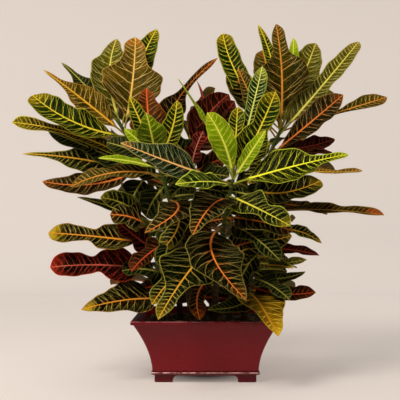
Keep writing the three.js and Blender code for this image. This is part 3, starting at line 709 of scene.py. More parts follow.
def vein_pattern(settings):
    """A node group that turns a place on a leaf into masks for its veins and a relief height.

    The attribute leaf_place holds the distance across from the midrib, the distance along it
    and the half-width there, in millimetres. leaf_trait holds the leaf's own number from 0
    to 1, 1 on the underside, and the share of the blade's length. leaf_vein holds which side
    vein lies there, counted from the base, the distance between two of them and a number
    from 0 where they stand far apart to 1 where they stand close.
    """
    group = bpy.data.node_groups.new("vein_pattern", "ShaderNodeTree")
    n = Nodes(group)
    width = settings.vein_width / MM
    rib_width = settings.rib_width / MM
    across, along, half = n.split(n.attribute("leaf_place"))
    seed, under, share = n.split(n.attribute("leaf_trait"))
    count, spacing, outer = n.split(n.attribute("leaf_vein"))
    away = n.absolute(across)
    side = n.math("SIGN", across)
    part = n.math("DIVIDE", away, n.larger(half, 0.8))
    place = n.join(across, along, n.times(seed, 97.0))
    wobble = n.minus(n.noise(place, STRAY_SCALE, 3.0, 0.6), 0.5)
    shift = n.math("DIVIDE", n.times(wobble, VEIN_STRAY), spacing)
    own = n.line(side, SIDE_OFFSET, n.times(seed, 7.0))
    count = n.plus(n.plus(count, shift), own)

    def one_vein(lead, label):
        """Place between two veins from -0.5 to 0.5 and three random numbers of the vein there."""
        white = n.add("ShaderNodeTexWhiteNoise", noise_dimensions="3D")
        n.fill(white, {"Vector": n.join(n.math("FLOOR", lead), side, n.line(seed, 91.0, label))})
        drawn = n.split(white.outputs["Color"])
        drift = n.times(n.minus(drawn[0], 0.5), VEIN_SHUFFLE)
        return n.minus(n.minus(n.math("FRACT", lead), 0.5), drift), drawn

    def stroke(distance, thickness, spread):
        """A mask that is full on a line's middle and ends a little past its edge."""
        return n.steps(distance, n.times(thickness, 0.6), n.times(thickness, spread), 1.0, 0.0)

    # The main side veins, which fork on their way out, wider where they stand far apart
    centre, (_, forks_at, strong) = one_vein(count, 0.0)
    fork = n.larger(n.minus(part, n.line(forks_at, FORK_SPREAD, FORK_FROM)), 0.0)
    fork = n.times(fork, n.line(outer, -0.3, 0.55))
    off = n.times(n.absolute(n.minus(n.absolute(centre), fork)), spacing)
    taper = n.line(part, -VEIN_TAPER, 1.0)
    thick = n.times(n.line(strong, 0.5, 0.75), n.line(outer, -0.3, 1.0))
    thick = n.times(taper, thick, width / 2)
    main = stroke(off, thick, 1.3)

    # Thin veins between them, which end before the margin
    between, (_, ends_at, weak) = one_vein(n.plus(count, 0.5), 40.0)
    beside = n.times(n.absolute(between), spacing)
    reach = n.line(ends_at, 0.45, n.line(outer, 0.3, 0.25))
    thin = n.times(n.line(weak, 0.25, 0.25), taper, width / 2)
    minor = n.times(stroke(beside, thin, 1.4), n.steps(part, n.times(reach, 0.6), reach, 0.3, 0.0))
    minor = n.times(minor, n.times(n.steps(outer, 0.2, 0.9, 1.0, 0.0), n.steps(weak, 0.3, 0.6)))

    # A fine net, the midrib, the margin and the tip
    lead = n.join(n.times(count, 13.0), away, n.times(seed, 53.0))
    net = n.steps(n.cells(lead, NET_SCALE, "DISTANCE_TO_EDGE")["Distance"], 0.02, 0.07, 1.0, 0.0)
    net = n.times(net, n.steps(n.noise(place, 0.06, 1.0), 0.38, 0.6))
    rib_half = n.times(n.line(share, -RIB_TAPER, 1.0), rib_width / 2)
    rib = n.steps(away, n.times(rib_half, 0.75), n.times(rib_half, 1.15), 1.0, 0.0)
    to_edge = n.line(wobble, 1.2, n.minus(half, away))
    tip = n.steps(n.line(wobble, 0.35, share), TIP_FROM, 1.0)

    # Lighter blotches beside the veins and towards the tip
    halo = n.steps(off, 0.0, n.line(width, 1.1, thick), 1.0, 0.0)
    halo = n.larger(halo, n.steps(away, 1.0, 5.5, 1.0, 0.0))
    light = n.line(n.minus(share, 0.5), 0.4, n.noise(place, BLOTCH_SCALE, 3.0, 0.6))
    blotch = n.line(halo, 0.5, n.times(n.steps(light, 0.3, 0.7), 0.6), clamp=True)

    # The blade is puffed between the veins above, and the veins stand out below
    puff = n.steps(n.math("MINIMUM", off, beside), 0.0, n.times(spacing, 0.2))
    upper = n.line(n.noise(place, GRAIN_SCALE, 2.0), 0.12, n.times(puff, 0.8))
    upper = n.plus(upper, n.times(rib, 0.5))
    masks = {
        "Rib": rib,
        "Vein": n.larger(main, minor),
        "Net": net,
        "Margin": n.steps(to_edge, MARGIN_FULL, MARGIN_END, 1.0, 0.0),
        "Tip": tip,
        "Blotch": blotch,
        "Under": under,
        "Height": n.times(upper, n.line(under, -1.6, 1.0)),
        "Stalk": n.steps(along, -2.0, 4.0, 1.0, 0.0),
        "Part": part,
    }
    for name in masks:
        group.interface.new_socket(name, in_out="OUTPUT", socket_type="NodeSocketFloat")
    n.fill(n.add("NodeGroupOutput"), masks)
    return group


def leaf_material(name, pattern, settings):
    """The colours of one kind of leaf, laid over the shared vein pattern."""
    ground, dark, vein, rib, margin, tip, vein_strength, net_strength, tip_strength = COLOURINGS[name]
    material, n, shader = new_material("leaf_" + name)
    masks = n.add("ShaderNodeGroup", node_tree=pattern).outputs
    lines = n.mix(n.steps(masks["Part"], 0.0, 0.55), colour(rib), colour(vein))
    coats = (
        (n.times(masks["Tip"], tip_strength), colour(tip)),
        (n.times(masks["Net"], net_strength), colour(vein)),
        (n.times(masks["Vein"], vein_strength), lines),
        (n.times(masks["Margin"], 0.8), colour(margin)),
        (masks["Rib"], colour(rib)),
        (masks["Stalk"], colour([(a + b) / 2 for a, b in zip(rib, (70, 84, 26))])),
    )
    base = n.mix(masks["Blotch"], colour(dark), colour(ground))
    for mask, coat in coats:
        base = n.mix(mask, base, coat)
    pale = n.mix(0.5, base, colour((120, 106, 58)))
    n.fill(shader, {
        "Base Color": n.mix(n.times(masks["Under"], 0.7), base, pale),
        "Roughness": n.line(masks["Vein"], 0.08, n.line(masks["Under"], 0.22, settings.gloss)),
        "Normal": n.bump(masks["Height"], 0.8, 0.6 * MM),
        "Specular IOR Level": 0.045,
        "Specular Tint": colour((246, 240, 160)),
    })
    return material


def outline_at(outline, places):
    """Half-width shares at places from 0 to 1, on a smooth curve through the outline's points."""
    values = np.array(OUTLINES[outline], float)
    last = len(values) - 1
    s = np.clip(places, 0, 1) * last
    i = np.minimum(s.astype(int), last - 1)
    f = s - i
    a, b, c, d = (values[np.clip(i + k, 0, last)] for k in (-1, 0, 1, 2))
    return np.maximum(0, b + 0.5 * f * (c - a + f * (2 * a - 5 * b + 4 * c - d + f * (3 * (b - c) + d - a))))


def unit(v):
    return v / np.linalg.norm(v, axis=-1, keepdims=True)


def smooth_step(x, low, high):
    x = np.clip((x - low) / (high - low), 0, 1)
    return x * x * (3 - 2 * x)


def bezier(points, t):
    """Places and unit directions on a quadratic curve, for an array of parameters."""
    a, b, c = (np.array(p, float) for p in points)
    t = np.asarray(t, float)[:, None]
    place = (1 - t) ** 2 * a + 2 * t * (1 - t) * b + t * t * c
    return place, unit(2 * (1 - t) * (b - a) + 2 * t * (c - b))


def on_stem(stem, level):
    """The place on a stem's middle line at a level."""
    foot, bend, crown, _ = stem
    if level <= STRAIGHT_TO:
        return np.array((*foot, level), float)
    places, _ = bezier(((*foot, STRAIGHT_TO), bend, crown), np.linspace(0, 1, CURVE_STEPS))
    return np.array([np.interp(level, places[:, 2], places[:, k]) for k in range(3)])


def round_tip(places):
    """Moves places near a leaf's end so that its outline closes in a rounder tip."""
    near = np.clip((places - ROUND_FROM) / (1 - ROUND_FROM), 0, 1)
    bent = ROUNDNESS * (1 - np.sqrt(1 - near * near)) + (1 - ROUNDNESS) * near
    return np.where(places > ROUND_FROM, ROUND_FROM + bent * (1 - ROUND_FROM), places)


def leaf_spine(stem, leaf, settings):
    """The rows of a leaf: their places in the whole leaf and in its blade, the middle line,
    the ways across and out of its face, and the blade's length."""
    root, tip = on_stem(stem, leaf.level), np.array((leaf.x, leaf.y, leaf.z), float)
    chord = unit(tip - root)
    yaw, pitch = math.radians(leaf.turn), math.radians(leaf.rise)
    look = np.array((math.sin(yaw) * math.cos(pitch), -math.cos(yaw) * math.cos(pitch), math.sin(pitch)))
    face = unit(look - look.dot(chord) * chord)
    side = np.cross(face, chord)
    middle = (root + tip) / 2 + 2 * leaf.bow * face + 2 * leaf.sway * side
    length = np.linalg.norm(tip - root) * (1 - leaf.stalk)
    rows = max(LEAST_ROWS, round(settings.rows * min(1, length / FULL_LENGTH)))
    stalk = np.linspace(0, leaf.stalk, STALK_ROWS, endpoint=False)
    t = np.concatenate((stalk, np.linspace(leaf.stalk, 1, rows)))
    centre, along = bezier((root, middle, tip), t)
    normal = unit(face - (along @ face)[:, None] * along)
    share = (t - leaf.stalk) / (1 - leaf.stalk)
    return t, share, centre, np.cross(normal, along), normal, length


def leaf_side(leaf, index, share, hand):
    """Half-width and wave of a leaf's left side, hand -1, or right side, hand 1, in each row."""
    phase = (index * GOLDEN) % 1
    blade = np.clip(share, 0, 1)
    swell = np.sin(np.pi * blade)
    shift = hand * (1 if index % 2 else -1) * SIDE_SHIFT * swell ** 0.5
    frill = 1 + FRILL * np.sin(2 * np.pi * (FRILLS * blade + phase + FRILL_SKEW * hand)) * swell
    half = leaf.width / 2 * outline_at(leaf.outline, round_tip(blade) + shift) * frill
    half = np.maximum(half, np.where(blade < 0.05, PETIOLE_RADIUS, LEAST_HALF))
    ripple = np.sin(2 * np.pi * (WAVES * blade + phase + WAVE_SKEW * hand))
    small = SMALL_WAVE * np.sin(2 * np.pi * (SMALL_WAVES * blade + 2 * phase + 0.5 * hand))
    wave = WAVE * swell * (ripple + small) * np.minimum(1, half / FULL_WAVE_HALF)
    return np.where(share < 0, PETIOLE_RADIUS, half), np.where(share < 0, 0, wave)


def leaf_surface(stem, leaf, index, settings):
    """Points, shader attributes and chart of one leaf: its upper side, then its underside.

    Rows run along the leaf and columns across it.
    """
    t, share, centre, across, normal, length = leaf_spine(stem, leaf, settings)
    spread = np.linspace(-1, 1, 2 * settings.columns + 1)
    spread = np.sign(spread) * np.abs(spread) ** COLUMN_CROWDING
    left, right = (leaf_side(leaf, index, share, hand) for hand in (-1, 1))
    half, wave = (np.where(spread > 0, b[:, None], a[:, None]) for a, b in zip(left, right))
    q = np.abs(spread)
    flat = smooth_step(share, STALK_END, BLADE_FULL)[:, None]
    lift = flat * (FOLD * half * q ** FOLD_POWER + wave * q ** 2)
    taper = (1 - RIDGE_THINNING * np.clip(share, 0, 1))[:, None]
    ridge = np.exp(-(q * half / (RIDGE_WIDTH * taper)) ** 2) * taper
    stalk = (1 - flat) * np.sqrt(np.maximum(0, 1 - q ** 2)) * PETIOLE_RADIUS
    sheet = settings.edge / MM / 2 * (1 - EDGE_THINNING * q ** 4)
    above, below = (stalk + flat * (sheet + height * ridge) for height in (RIDGE_ABOVE, RIDGE_BELOW))
    signed = spread * half
    ground = centre[:, None] + across[:, None] * signed[..., None]
    points = [ground + normal[:, None] * rise[..., None] for rise in (lift + above, lift - below)]
    distance = np.broadcast_to((share * length)[:, None], signed.shape)
    place = np.stack((signed, distance, half), axis=-1)
    vein = vein_attribute(signed, distance, half, share, length, settings)
    trait = np.zeros((2, *signed.shape, 3))
    trait[..., 0] = (index * GOLDEN * 0.7) % 1
    trait[1, ..., 1] = 1
    trait[..., 2] = share[:, None]
    traits = {
        "leaf_place": np.stack((place, place)),
        "leaf_trait": trait,
        "leaf_vein": np.stack((vein, vein)),
    }
    chart_x = 0.25 + 0.23 * signed / max(half.max(), 1)
    chart_y = 0.01 + 0.98 * np.broadcast_to(t[:, None], signed.shape)
    chart = np.stack((chart_x, chart_y), axis=-1)
    return np.stack(points), traits, np.stack((chart, chart + (0.5, 0)))


def vein_attribute(signed, distance, half, share, length, settings):
    """Which side vein lies at each place, the distance between two and how close they stand.

    A vein leaves the midrib at a slant that is steeper near the base, and bends towards the
    leaf's tip on its way to the margin.
    """
    away = np.abs(signed)
    shares = np.broadcast_to(share[:, None], signed.shape)
    slant = SLANT_AT_BASE - SLANT_LOSS * smooth_step(shares, SLANT_FROM, SLANT_TO)
    lead = distance - away * slant - VEIN_BEND * away * (away / np.maximum(half, 1))
    steps = np.linspace(COUNT_FROM, COUNT_TO, COUNT_STEPS)
    widths = np.interp(steps, share, half.mean(axis=1))
    widest = steps[np.argmax(widths)]
    widths = np.where(steps < widest, widths.max(), widths)
    spacings = np.clip(VEIN_WIDTH_SHARE * widths + VEIN_LEAST, settings.vein_spacing / MM, VEIN_MOST)
    counts = np.cumsum((steps[1] - steps[0]) * length / spacings)
    place = lead / length
    count = np.interp(place, steps, counts)
    spacing = np.interp(place, steps, spacings)
    outer = 1 - smooth_step(spacing, CLOSE_SPACING, WIDE_SPACING)
    return np.stack((count, spacing, outer), axis=-1)


def leaf_faces(count, columns):
    """Quads of the upper and under side, of the thin edge between them, and the two ends.

    The second list tells which faces shade smooth.
    """
    under = count * columns
    faces = []
    smooth = []
    for i in range(count - 1):
        for k in range(columns - 1):
            a = i * columns + k
            faces.append((a, a + columns, a + columns + 1, a + 1))
            faces.append((under + a, under + a + 1, under + a + columns + 1, under + a + columns))
        first, last = i * columns, (i + 1) * columns - 1
        faces.append((first, under + first, under + first + columns, first + columns))
        faces.append((last, last + columns, under + last + columns, under + last))
        smooth += [True] * (2 * columns - 2) + [False, False]
    start = [*range(columns)]
    end = [(count - 1) * columns + k for k in range(columns)]
    faces.append(tuple(start + [under + k for k in reversed(start)]))
    faces.append(tuple(list(reversed(end)) + [under + k for k in end]))
    return faces, smooth + [False, False]


def make_leaf(name, stem, leaf, index, material, settings):
    points, traits, chart = leaf_surface(stem, leaf, index, settings)
    faces, smooth = leaf_faces(*points.shape[1:3])
    obj = new_object(name, points.reshape(-1, 3), faces, material)
    mesh = obj.data
    mesh.polygons.foreach_set("use_smooth", smooth)
    for label, values in traits.items():
        add_attribute(mesh, label, values)
    corners = np.zeros(len(mesh.loops), int)
    mesh.loops.foreach_get("vertex_index", corners)
    chart = chart.reshape(-1, 2)[corners]
    mesh.uv_layers.new(name="OFBake").data.foreach_set("uv", chart.astype(np.float32).ravel())
    return obj


def square_ring(half, level, radius, steps=6):
    """Points of a square with rounded corners, counter-clockwise from above, in millimetres."""
    ring = []
    for corner in range(4):
        middle = (corner + 0.5) * math.pi / 2
        out = (half - radius) * math.sqrt(2)
        for i in range(steps + 1):
            angle = middle + (i / steps - 0.5) * math.pi / 2
            ring.append((out * math.cos(middle) + radius * math.cos(angle),
                         out * math.sin(middle) + radius * math.sin(angle), level))
    return ring


def flare(level):
    """Half-width of the pot's outside at a level of its body."""
    rise = min(max((level - WAIST_LEVEL) / (POT_HEIGHT - WAIST_LEVEL), 0), 1)
    return WAIST_HALF + (RIM_HALF - WAIST_HALF) * rise ** FLARE_POWER


def flare_profile(low, high, steps, inset=0):
    """Half-widths and levels up the flared body, as far inside its face as the inset."""
    levels = [low + (high - low) * i / steps for i in range(steps + 1)]
    return [(flare(level) - inset, level) for level in levels]


def arc(half, level, radius, start, end, steps):
    """Half-widths and levels round a moulding, from one angle to another in degrees."""
    angles = [math.radians(start + (end - start) * i / steps) for i in range(steps + 1)]
    return [(half + radius * math.cos(a), level + radius * math.sin(a)) for a in angles]


def arch_solid(name, turned):
    """The arch between two feet, right through the base."""
    half = FOOT_HALF - FOOT_WIDTH
    outline = [(-half, -2), (half, -2)]
    for side, start in ((1, 0), (-1, 90)):
        for x, z in arc(0, FOOT_HEIGHT - FOOT_ARCH, FOOT_ARCH, start, start + 90, 8):
            outline.append((side * (half - FOOT_ARCH) + x, z))
    n = len(outline)
    reach = 1.5 * FOOT_HALF
    points = [(x, y, z) for y in (-reach, reach) for x, z in outline]
    if turned:
        points = [(-y, x, z) for x, y, z in points]
    faces = [tuple(range(n)), tuple(n + i for i in reversed(range(n)))]
    faces += [(i, n + i, n + (i + 1) % n, (i + 1) % n) for i in range(n)]
    return new_object(name, points, faces)


def lofted(name, profile, radius):
    """A closed square solid from half-widths and levels, with rounded corners."""
    rings = [square_ring(half, level, min(radius, 0.9 * half)) for half, level in profile]
    return new_object(name, *loft(rings))


def cut_away(obj, cutters):
    """Cuts other closed objects out of one, then removes them."""
    bpy.context.view_layer.objects.active = obj
    for cutter in cutters:
        modifier = obj.modifiers.new("cut", "BOOLEAN")
        modifier.operation = "DIFFERENCE"
        modifier.solver = "MANIFOLD"
        modifier.object = cutter
        bpy.ops.object.modifier_apply(modifier=modifier.name)
    for cutter in cutters:
        bpy.data.meshes.remove(cutter.data)


def soften(obj, width, angle=38):
    """Rounds the sharp edges as a glaze does."""
    bpy.context.view_layer.objects.active = obj
    bevel = obj.modifiers.new("soften", "BEVEL")
    bevel.width = width
    bevel.segments = 3
    bevel.limit_method = "ANGLE"
    bevel.angle_limit = math.radians(angle)
    bevel.harden_normals = True
    bpy.ops.object.modifier_apply(modifier=bevel.name)


def glaze_material(settings):
    """Oxblood glaze with a clear glossy coat: a painted highlight drawn as thin glaze on the edges, painted
    shade up the body under the rim, and darker glaze on the rim band and from the bead down.
    """
    material, n, shader = new_material("oxblood_glaze")
    place = n.place()
    x, y, z = n.split(place)
    mottle = n.noise(place, 160.0, 4.0, 0.6)
    bead, band_foot = BEAD_LEVEL * MM, (POT_HEIGHT - RIM_BAND) * MM

    # Painted shade up the body under the rim; darker glaze on the rim band and lip, and from the bead down
    level = n.line(n.minus(n.noise(place, 9.0, 3.0), 0.5), 0.03, z)
    top = n.steps(level, 0.045, 0.1, 0.0, 0.55)
    band = n.steps(z, band_foot - 0.6 * MM, band_foot + 0.6 * MM, 0.0, 0.55)
    under = n.steps(z, bead, bead + 8 * MM, 0.8, 0.0)
    darkened = n.larger(n.larger(top, band), under)
    darkened = n.plus(darkened, n.line(mottle, 0.3, -0.15), clamp=True)

    # Painted highlight, drawn as thin, broken glaze: a pale line on the bead's crest and the lip's outer
    # edge
    lip_glint = n.times(n.steps(z, (POT_HEIGHT - 2) * MM, (POT_HEIGHT - 0.8) * MM), 0.18)
    out = n.larger(n.absolute(x), n.absolute(y))
    lip_glint = n.times(lip_glint, n.steps(out, (RIM_HALF - 2.5) * MM, (RIM_HALF - 1) * MM))
    above = n.absolute(n.minus(z, bead + CREST_RISE * MM))
    crest_glint = n.steps(above, 0.3 * CREST_WIDTH * MM, CREST_WIDTH * MM, 1.0, 0.0)
    glint_breaks = n.steps(n.noise(place, 70.0, 3.0, 0.7), 0.38, 0.58, 0.1, 1.0)
    thin = n.times(n.larger(crest_glint, lip_glint), glint_breaks)

    base = n.mix(darkened, (*settings.glaze, 1), (*settings.glaze_dark, 1))
    off_bead = n.absolute(n.minus(z, bead))
    shine = n.steps(off_bead, BEAD_RADIUS * MM, (BEAD_RADIUS + 1) * MM, 1.0, 0.0)
    n.fill(shader, {
        "Base Color": n.mix(thin, base, (*settings.glaze_glint, 1)),
        "Roughness": n.line(mottle, 0.14, 0.2),
        "Normal": n.bump(n.noise(place, 60.0, 2.0), 0.12, 0.8 * MM),
        "Specular IOR Level": 0.16,
        "Coat Weight": n.line(shine, 0.3, 0.16),
        "Coat Roughness": 0.1,
    })
    return material


class CrotonPot(bpy.types.Operator):
    """Build the square flared pot with its rim, base moulding and bracket feet"""

    bl_idname = "croton.pot"
    bl_label = "Glazed pot"

    def execute(self, context):
        settings = context.scene.croton_pot
        radius = settings.corner_radius / MM
        wall = settings.wall / MM
        band_foot = POT_HEIGHT - RIM_BAND
        outside = [(FOOT_HALF - FOOT_EDGE, 0), (FOOT_HALF, FOOT_EDGE)]
        outside.append((FOOT_HALF, BEAD_LEVEL - BEAD_RADIUS))
        outside += arc(BEAD_HALF - BEAD_RADIUS, BEAD_LEVEL, BEAD_RADIUS, -BEAD_ANGLE, BEAD_ANGLE, 10)
        start = BEAD_LEVEL + BEAD_RADIUS + FLARE_CLEARANCE
        outside += flare_profile(start, band_foot - FLARE_CLEARANCE, 30)
        edge, *band = arc(RIM_HALF - BAND_ROUNDING, band_foot + BAND_ROUNDING, BAND_ROUNDING, -70, 0, 4)
        outside += [edge, (RIM_HALF - RIM_STEP, band_foot - 0.2), *band]
        outside += arc(RIM_HALF - LIP_ROUNDING, POT_HEIGHT - LIP_ROUNDING, LIP_ROUNDING, 0, 90, 5)
        foot = flare(FLOOR_LEVEL) - wall
        inside = [(foot - FLOOR_COVE, FLOOR_LEVEL), (foot, FLOOR_LEVEL + FLOOR_COVE)]
        inside += flare_profile(FLOOR_LEVEL + FLOOR_COVE + 3, band_foot, 20, wall)
        opening = RIM_HALF - RIM_WIDTH
        for out, up in ((0, -2), (0.6, -0.6), (2, 0.8)):
            inside.append((opening + out, POT_HEIGHT + up))
        pot = lofted("pot_glazed", outside, radius)
        drain_profile = [(DRAIN_RADIUS, -1), (DRAIN_RADIUS, FLOOR_LEVEL + 4)]
        cutters = [
            lofted("inside", inside, radius),
            arch_solid("arch_front", False),
            arch_solid("arch_side", True),
            lofted("drain", drain_profile, 0.99 * DRAIN_RADIUS),
        ]
        cut_away(pot, cutters)
        soften(pot, GLAZE_ROUNDING * MM)
        pot.data.materials.clear()
        pot.data.materials.append(glaze_material(settings))
        finish_piece(pot, "pot")
        return {"FINISHED"}


def soil_material(settings):
    """Damp dark grains with patches of moss and pale specks."""
    material, n, shader = new_material("potting_soil")
    place = n.place()
    grains = n.noise(place, 420.0, 5.0, 0.65)
    patches = n.noise(place, 34.0, 3.0)
    dark = n.mix(n.steps(grains, 0.42, 0.68), colour((26, 18, 12)), (*settings.soil, 1))
    base = n.mix(n.steps(patches, 0.56, 0.7, 0.0, 0.7), dark, (*settings.moss, 1))
    speck = n.split(n.cells(place, 260.0, "F1")["Color"])[0]
    n.fill(shader, {
        "Base Color": n.mix(n.steps(speck, 0.9, 0.96, 0.0, 0.7), base, colour((122, 96, 62))),
        "Roughness": 0.9,
        "Normal": n.bump(grains, 0.9, 1.5 * MM),
    })
    return material


def chip_material(name, dark, light):
    """Bark or moss: a colour that varies from one piece to the next and over its grain."""
    material, n, shader = new_material(name)
    place = n.place()
    own = n.noise(place, 55.0, 1.0)
    grain = n.noise(place, 700.0, 4.0, 0.7)
    blend = n.line(grain, 0.7, n.minus(own, 0.35), clamp=True)
    n.fill(shader, {
        "Base Color": n.mix(n.steps(blend, 0.25, 0.8), colour(dark), colour(light)),
        "Roughness": 0.85,
        "Normal": n.bump(grain, 0.8, 0.6 * MM),
    })
    return material


def inside_half(level, wall):
    """Half-width of what fills the pot at a level, a little clear of the wall."""
    return flare(level) - wall - GAP


def ground_level(x, y):
    """Height of the uneven, crumbly ground between the stems, in millimetres."""
    humps = np.sin(x / 23 + 1) * np.cos(y / 19) + 0.6 * np.sin(x / 11 + y / 14)
    crumbs = noise.fractal(Vector((x / CRUMB_SIZE, y / CRUMB_SIZE, 3)), 1.0, 2.1, 4)
    return float(SOIL_LEVEL + SOIL_SWELL * humps) + CRUMB_HEIGHT * crumbs


def rounded(x, y, half, radius):
    """Moves a point of a square inside the same square with rounded corners."""
    inner = half - radius
    qx, qy = min(max(x, -inner), inner), min(max(y, -inner), inner)
    dx, dy = x - qx, y - qy
    away = math.hypot(dx, dy)
    share = min(1, radius / away) if away > 0 else 1
    return qx + dx * share, qy + dy * share


class CrotonSoil(bpy.types.Operator):
    """Build the potting soil that fills the pot, crumbly on top"""

    bl_idname = "croton.soil"
    bl_label = "Potting soil"

    def execute(self, context):
        pot = context.scene.croton_pot
        wall, radius = pot.wall / MM, pot.corner_radius / MM
        n = SOIL_GRID + 1
        shares = [2 * i / SOIL_GRID - 1 for i in range(n)]
        grid = [(u, v) for v in shares for u in shares]
        half = inside_half(SOIL_LEVEL, wall)
        points = []
        for u, v in grid:
            x, y = rounded(u * half, v * half, half, radius)
            dip = EDGE_DIP * max(0, (max(abs(u), abs(v)) - EDGE_FROM) / (1 - EDGE_FROM)) ** 2
            z = ground_level(x, y) - dip
            reach = inside_half(z, wall) / half
            points.append((x * reach, y * reach, z))
        faces = grid_faces(n, n)
        rim = [*range(n - 1)]
        rim += [j * n + n - 1 for j in range(n - 1)]
        rim += [(n - 1) * n + i for i in range(n - 1, 0, -1)]
        rim += [j * n for j in range(n - 1, 0, -1)]
        above = rim
        for level in (*SOIL_RINGS, FLOOR_LEVEL + GAP):
            half = inside_half(level, wall)
            below = range(len(points), len(points) + len(rim))
            for u, v in (grid[k] for k in rim):
                points.append((*rounded(u * half, v * half, half, radius), level))
            for k in range(len(rim)):
                m = (k + 1) % len(rim)
                faces.append((above[k], below[k], below[m], above[m]))
            above = below
        faces.append(tuple(reversed(above)))
        soil = new_object("soil_bed", points, faces, soil_material(context.scene.croton_soil))
        finish_piece(soil, "soil")
        return {"FINISHED"}


def lump(rng, centre, size, flatness, rough):
    """Points and faces of one small irregular lump: a ball of 12 points pushed about."""
    g = (1 + math.sqrt(5)) / 2
    corners = [(-1, g, 0), (1, g, 0), (-1, -g, 0), (1, -g, 0), (0, -1, g), (0, 1, g),
               (0, -1, -g), (0, 1, -g), (g, 0, -1), (g, 0, 1), (-g, 0, -1), (-g, 0, 1)]
    faces = [(0, 11, 5), (0, 5, 1), (0, 1, 7), (0, 7, 10), (0, 10, 11), (1, 5, 9), (5, 11, 4),
             (11, 10, 2), (10, 7, 6), (7, 1, 8), (3, 9, 4), (3, 4, 2), (3, 2, 6), (3, 6, 8),
             (3, 8, 9), (4, 9, 5), (2, 4, 11), (6, 2, 10), (8, 6, 7), (9, 8, 1)]
    turn, tilt = rng.uniform(0, math.tau), rng.uniform(-0.5, 0.5)
    stretch = rng.uniform(1, 2.2)
    points = []
    for corner in corners:
        x, y, z = (c / 1.9 * size / 2 * rng.uniform(1 - rough, 1 + rough) for c in corner)
        x, z = x * stretch, z * flatness
        x, z = x * math.cos(tilt) - z * math.sin(tilt), x * math.sin(tilt) + z * math.cos(tilt)
        points.append((centre[0] + x * math.cos(turn) - y * math.sin(turn),
                       centre[1] + x * math.sin(turn) + y * math.cos(turn), centre[2] + z))
    return points, faces


def strewn(name, seed, count, sizes, flatness, rough, wall, material):
    """Lumps strewn over the soil, clear of the stems and of the pot's wall."""
    rng = random.Random(seed)
    points, faces = [], []
    feet = [stem[0] for stem in STEMS.values()]
    while count:
        size = rng.uniform(*sizes)
        room = flare(SOIL_LEVEL) - wall - size - LITTER_CLEARANCE
        x, y = rng.uniform(-room, room), rng.uniform(-room, room)
        if min(math.dist((x, y), foot) for foot in feet) < STEM_FOOT_RADIUS + size:
            continue
        z = ground_level(x, y) + LITTER_RISE * size * flatness
        new_points, new_faces = lump(rng, (x, y, z), size, flatness, rough)
        faces += [tuple(len(points) + i for i in face) for face in new_faces]
        points += new_points
        count -= 1
    obj = new_object(name, points, faces, material)
    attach(obj, BODY)


class CrotonLitter(bpy.types.Operator):
    """Strew bark chips and tufts of moss over the soil"""

    bl_idname = "croton.litter"
    bl_label = "Bark and moss"

    def execute(self, context):
        settings = context.scene.croton_soil
        wall = context.scene.croton_pot.wall / MM
        bark = chip_material("bark_chips", (34, 22, 14), (112, 78, 48))
        moss = chip_material("moss_tufts", (44, 46, 14), (118, 112, 40))
        strewn("bark_chips", 5, settings.bits, (2.0, 8.0), 0.55, 0.3, wall, bark)
        strewn("moss_tufts", 9, settings.tufts, (2.5, 7.0), 0.7, 0.35, wall, moss)
        return {"FINISHED"}


def stem_material():
    """Green near the crown, grey-brown and cracked below, with pale leaf scars."""
    material, n, shader = new_material("stem_bark")
    age, ring, _ = n.split(n.attribute("stem_place"))
    grain = n.noise(n.place(), 260.0, 4.0, 0.65)
    green = n.mix(grain, colour((34, 52, 8)), colour((74, 90, 20)))
    bark = n.mix(grain, colour((36, 25, 15)), colour((84, 64, 42)))
    base = n.mix(n.steps(n.line(grain, 0.2, age), 0.5, 0.85), bark, green)
    scar = n.steps(n.absolute(n.minus(n.math("FRACT", ring), 0.5)), 0.03, 0.1, 0.6, 0.0)
    n.fill(shader, {
        "Base Color": n.mix(scar, base, colour((112, 92, 58))),
        "Roughness": n.line(grain, 0.2, 0.5),
        "Specular IOR Level": 0.15,
        "Normal": n.bump(n.minus(grain, scar), 0.6, 0.8 * MM),
    })
    return material


def stem_surface(foot, bend, crown):
    """Rings of points up a stem from inside the soil, and its shader attribute."""
    t = np.linspace(0, 1, STEM_ROWS)
    above, along = bezier(((*foot, STRAIGHT_TO), bend, crown), t)
    depth = np.linspace(ROOT_LEVEL, STRAIGHT_TO, ROOT_ROWS, endpoint=False)
    centre = np.concatenate(([(*foot, level) for level in depth], above))
    along = np.concatenate((np.tile((0.0, 0.0, 1.0), (ROOT_ROWS, 1)), along))
    grown = np.concatenate((np.zeros(ROOT_ROWS), t))
    run = np.concatenate(((0,), np.cumsum(np.linalg.norm(np.diff(centre, axis=0), axis=1))))
    right = unit(np.cross((0.0, 1.0, 0.0), along))
    back = np.cross(along, right)
    scars = run / SCAR_SPACING
    radius = STEM_FOOT_RADIUS + (STEM_TIP_RADIUS - STEM_FOOT_RADIUS) * grown
    radius = radius * (1 + SCAR_SWELL * np.exp(-((scars % 1 - 0.5) / SCAR_WIDTH) ** 2))
    angles = (np.arange(STEM_SIDES) * math.tau / STEM_SIDES)[:, None]
    out = right[:, None] * np.cos(angles) + back[:, None] * np.sin(angles)
    values = np.zeros((len(centre), STEM_SIDES, 3))
    values[..., 0] = grown[:, None]
    values[..., 1] = scars[:, None]
    return centre[:, None] + out * radius[:, None, None], values


class CrotonStems(bpy.types.Operator):
    """Build the woody stems with their leaf scars"""

    bl_idname = "croton.stems"
    bl_label = "Stems"

    def execute(self, context):
        material = stem_material()
        for name, (foot, bend, crown, _) in STEMS.items():
            rings, values = stem_surface(foot, bend, crown)
            stem = new_object("trunk_" + name, *loft(rings.tolist()), material)
            add_attribute(stem.data, "stem_place", values)
            finish_piece(stem, "stem_" + name)
        return {"FINISHED"}


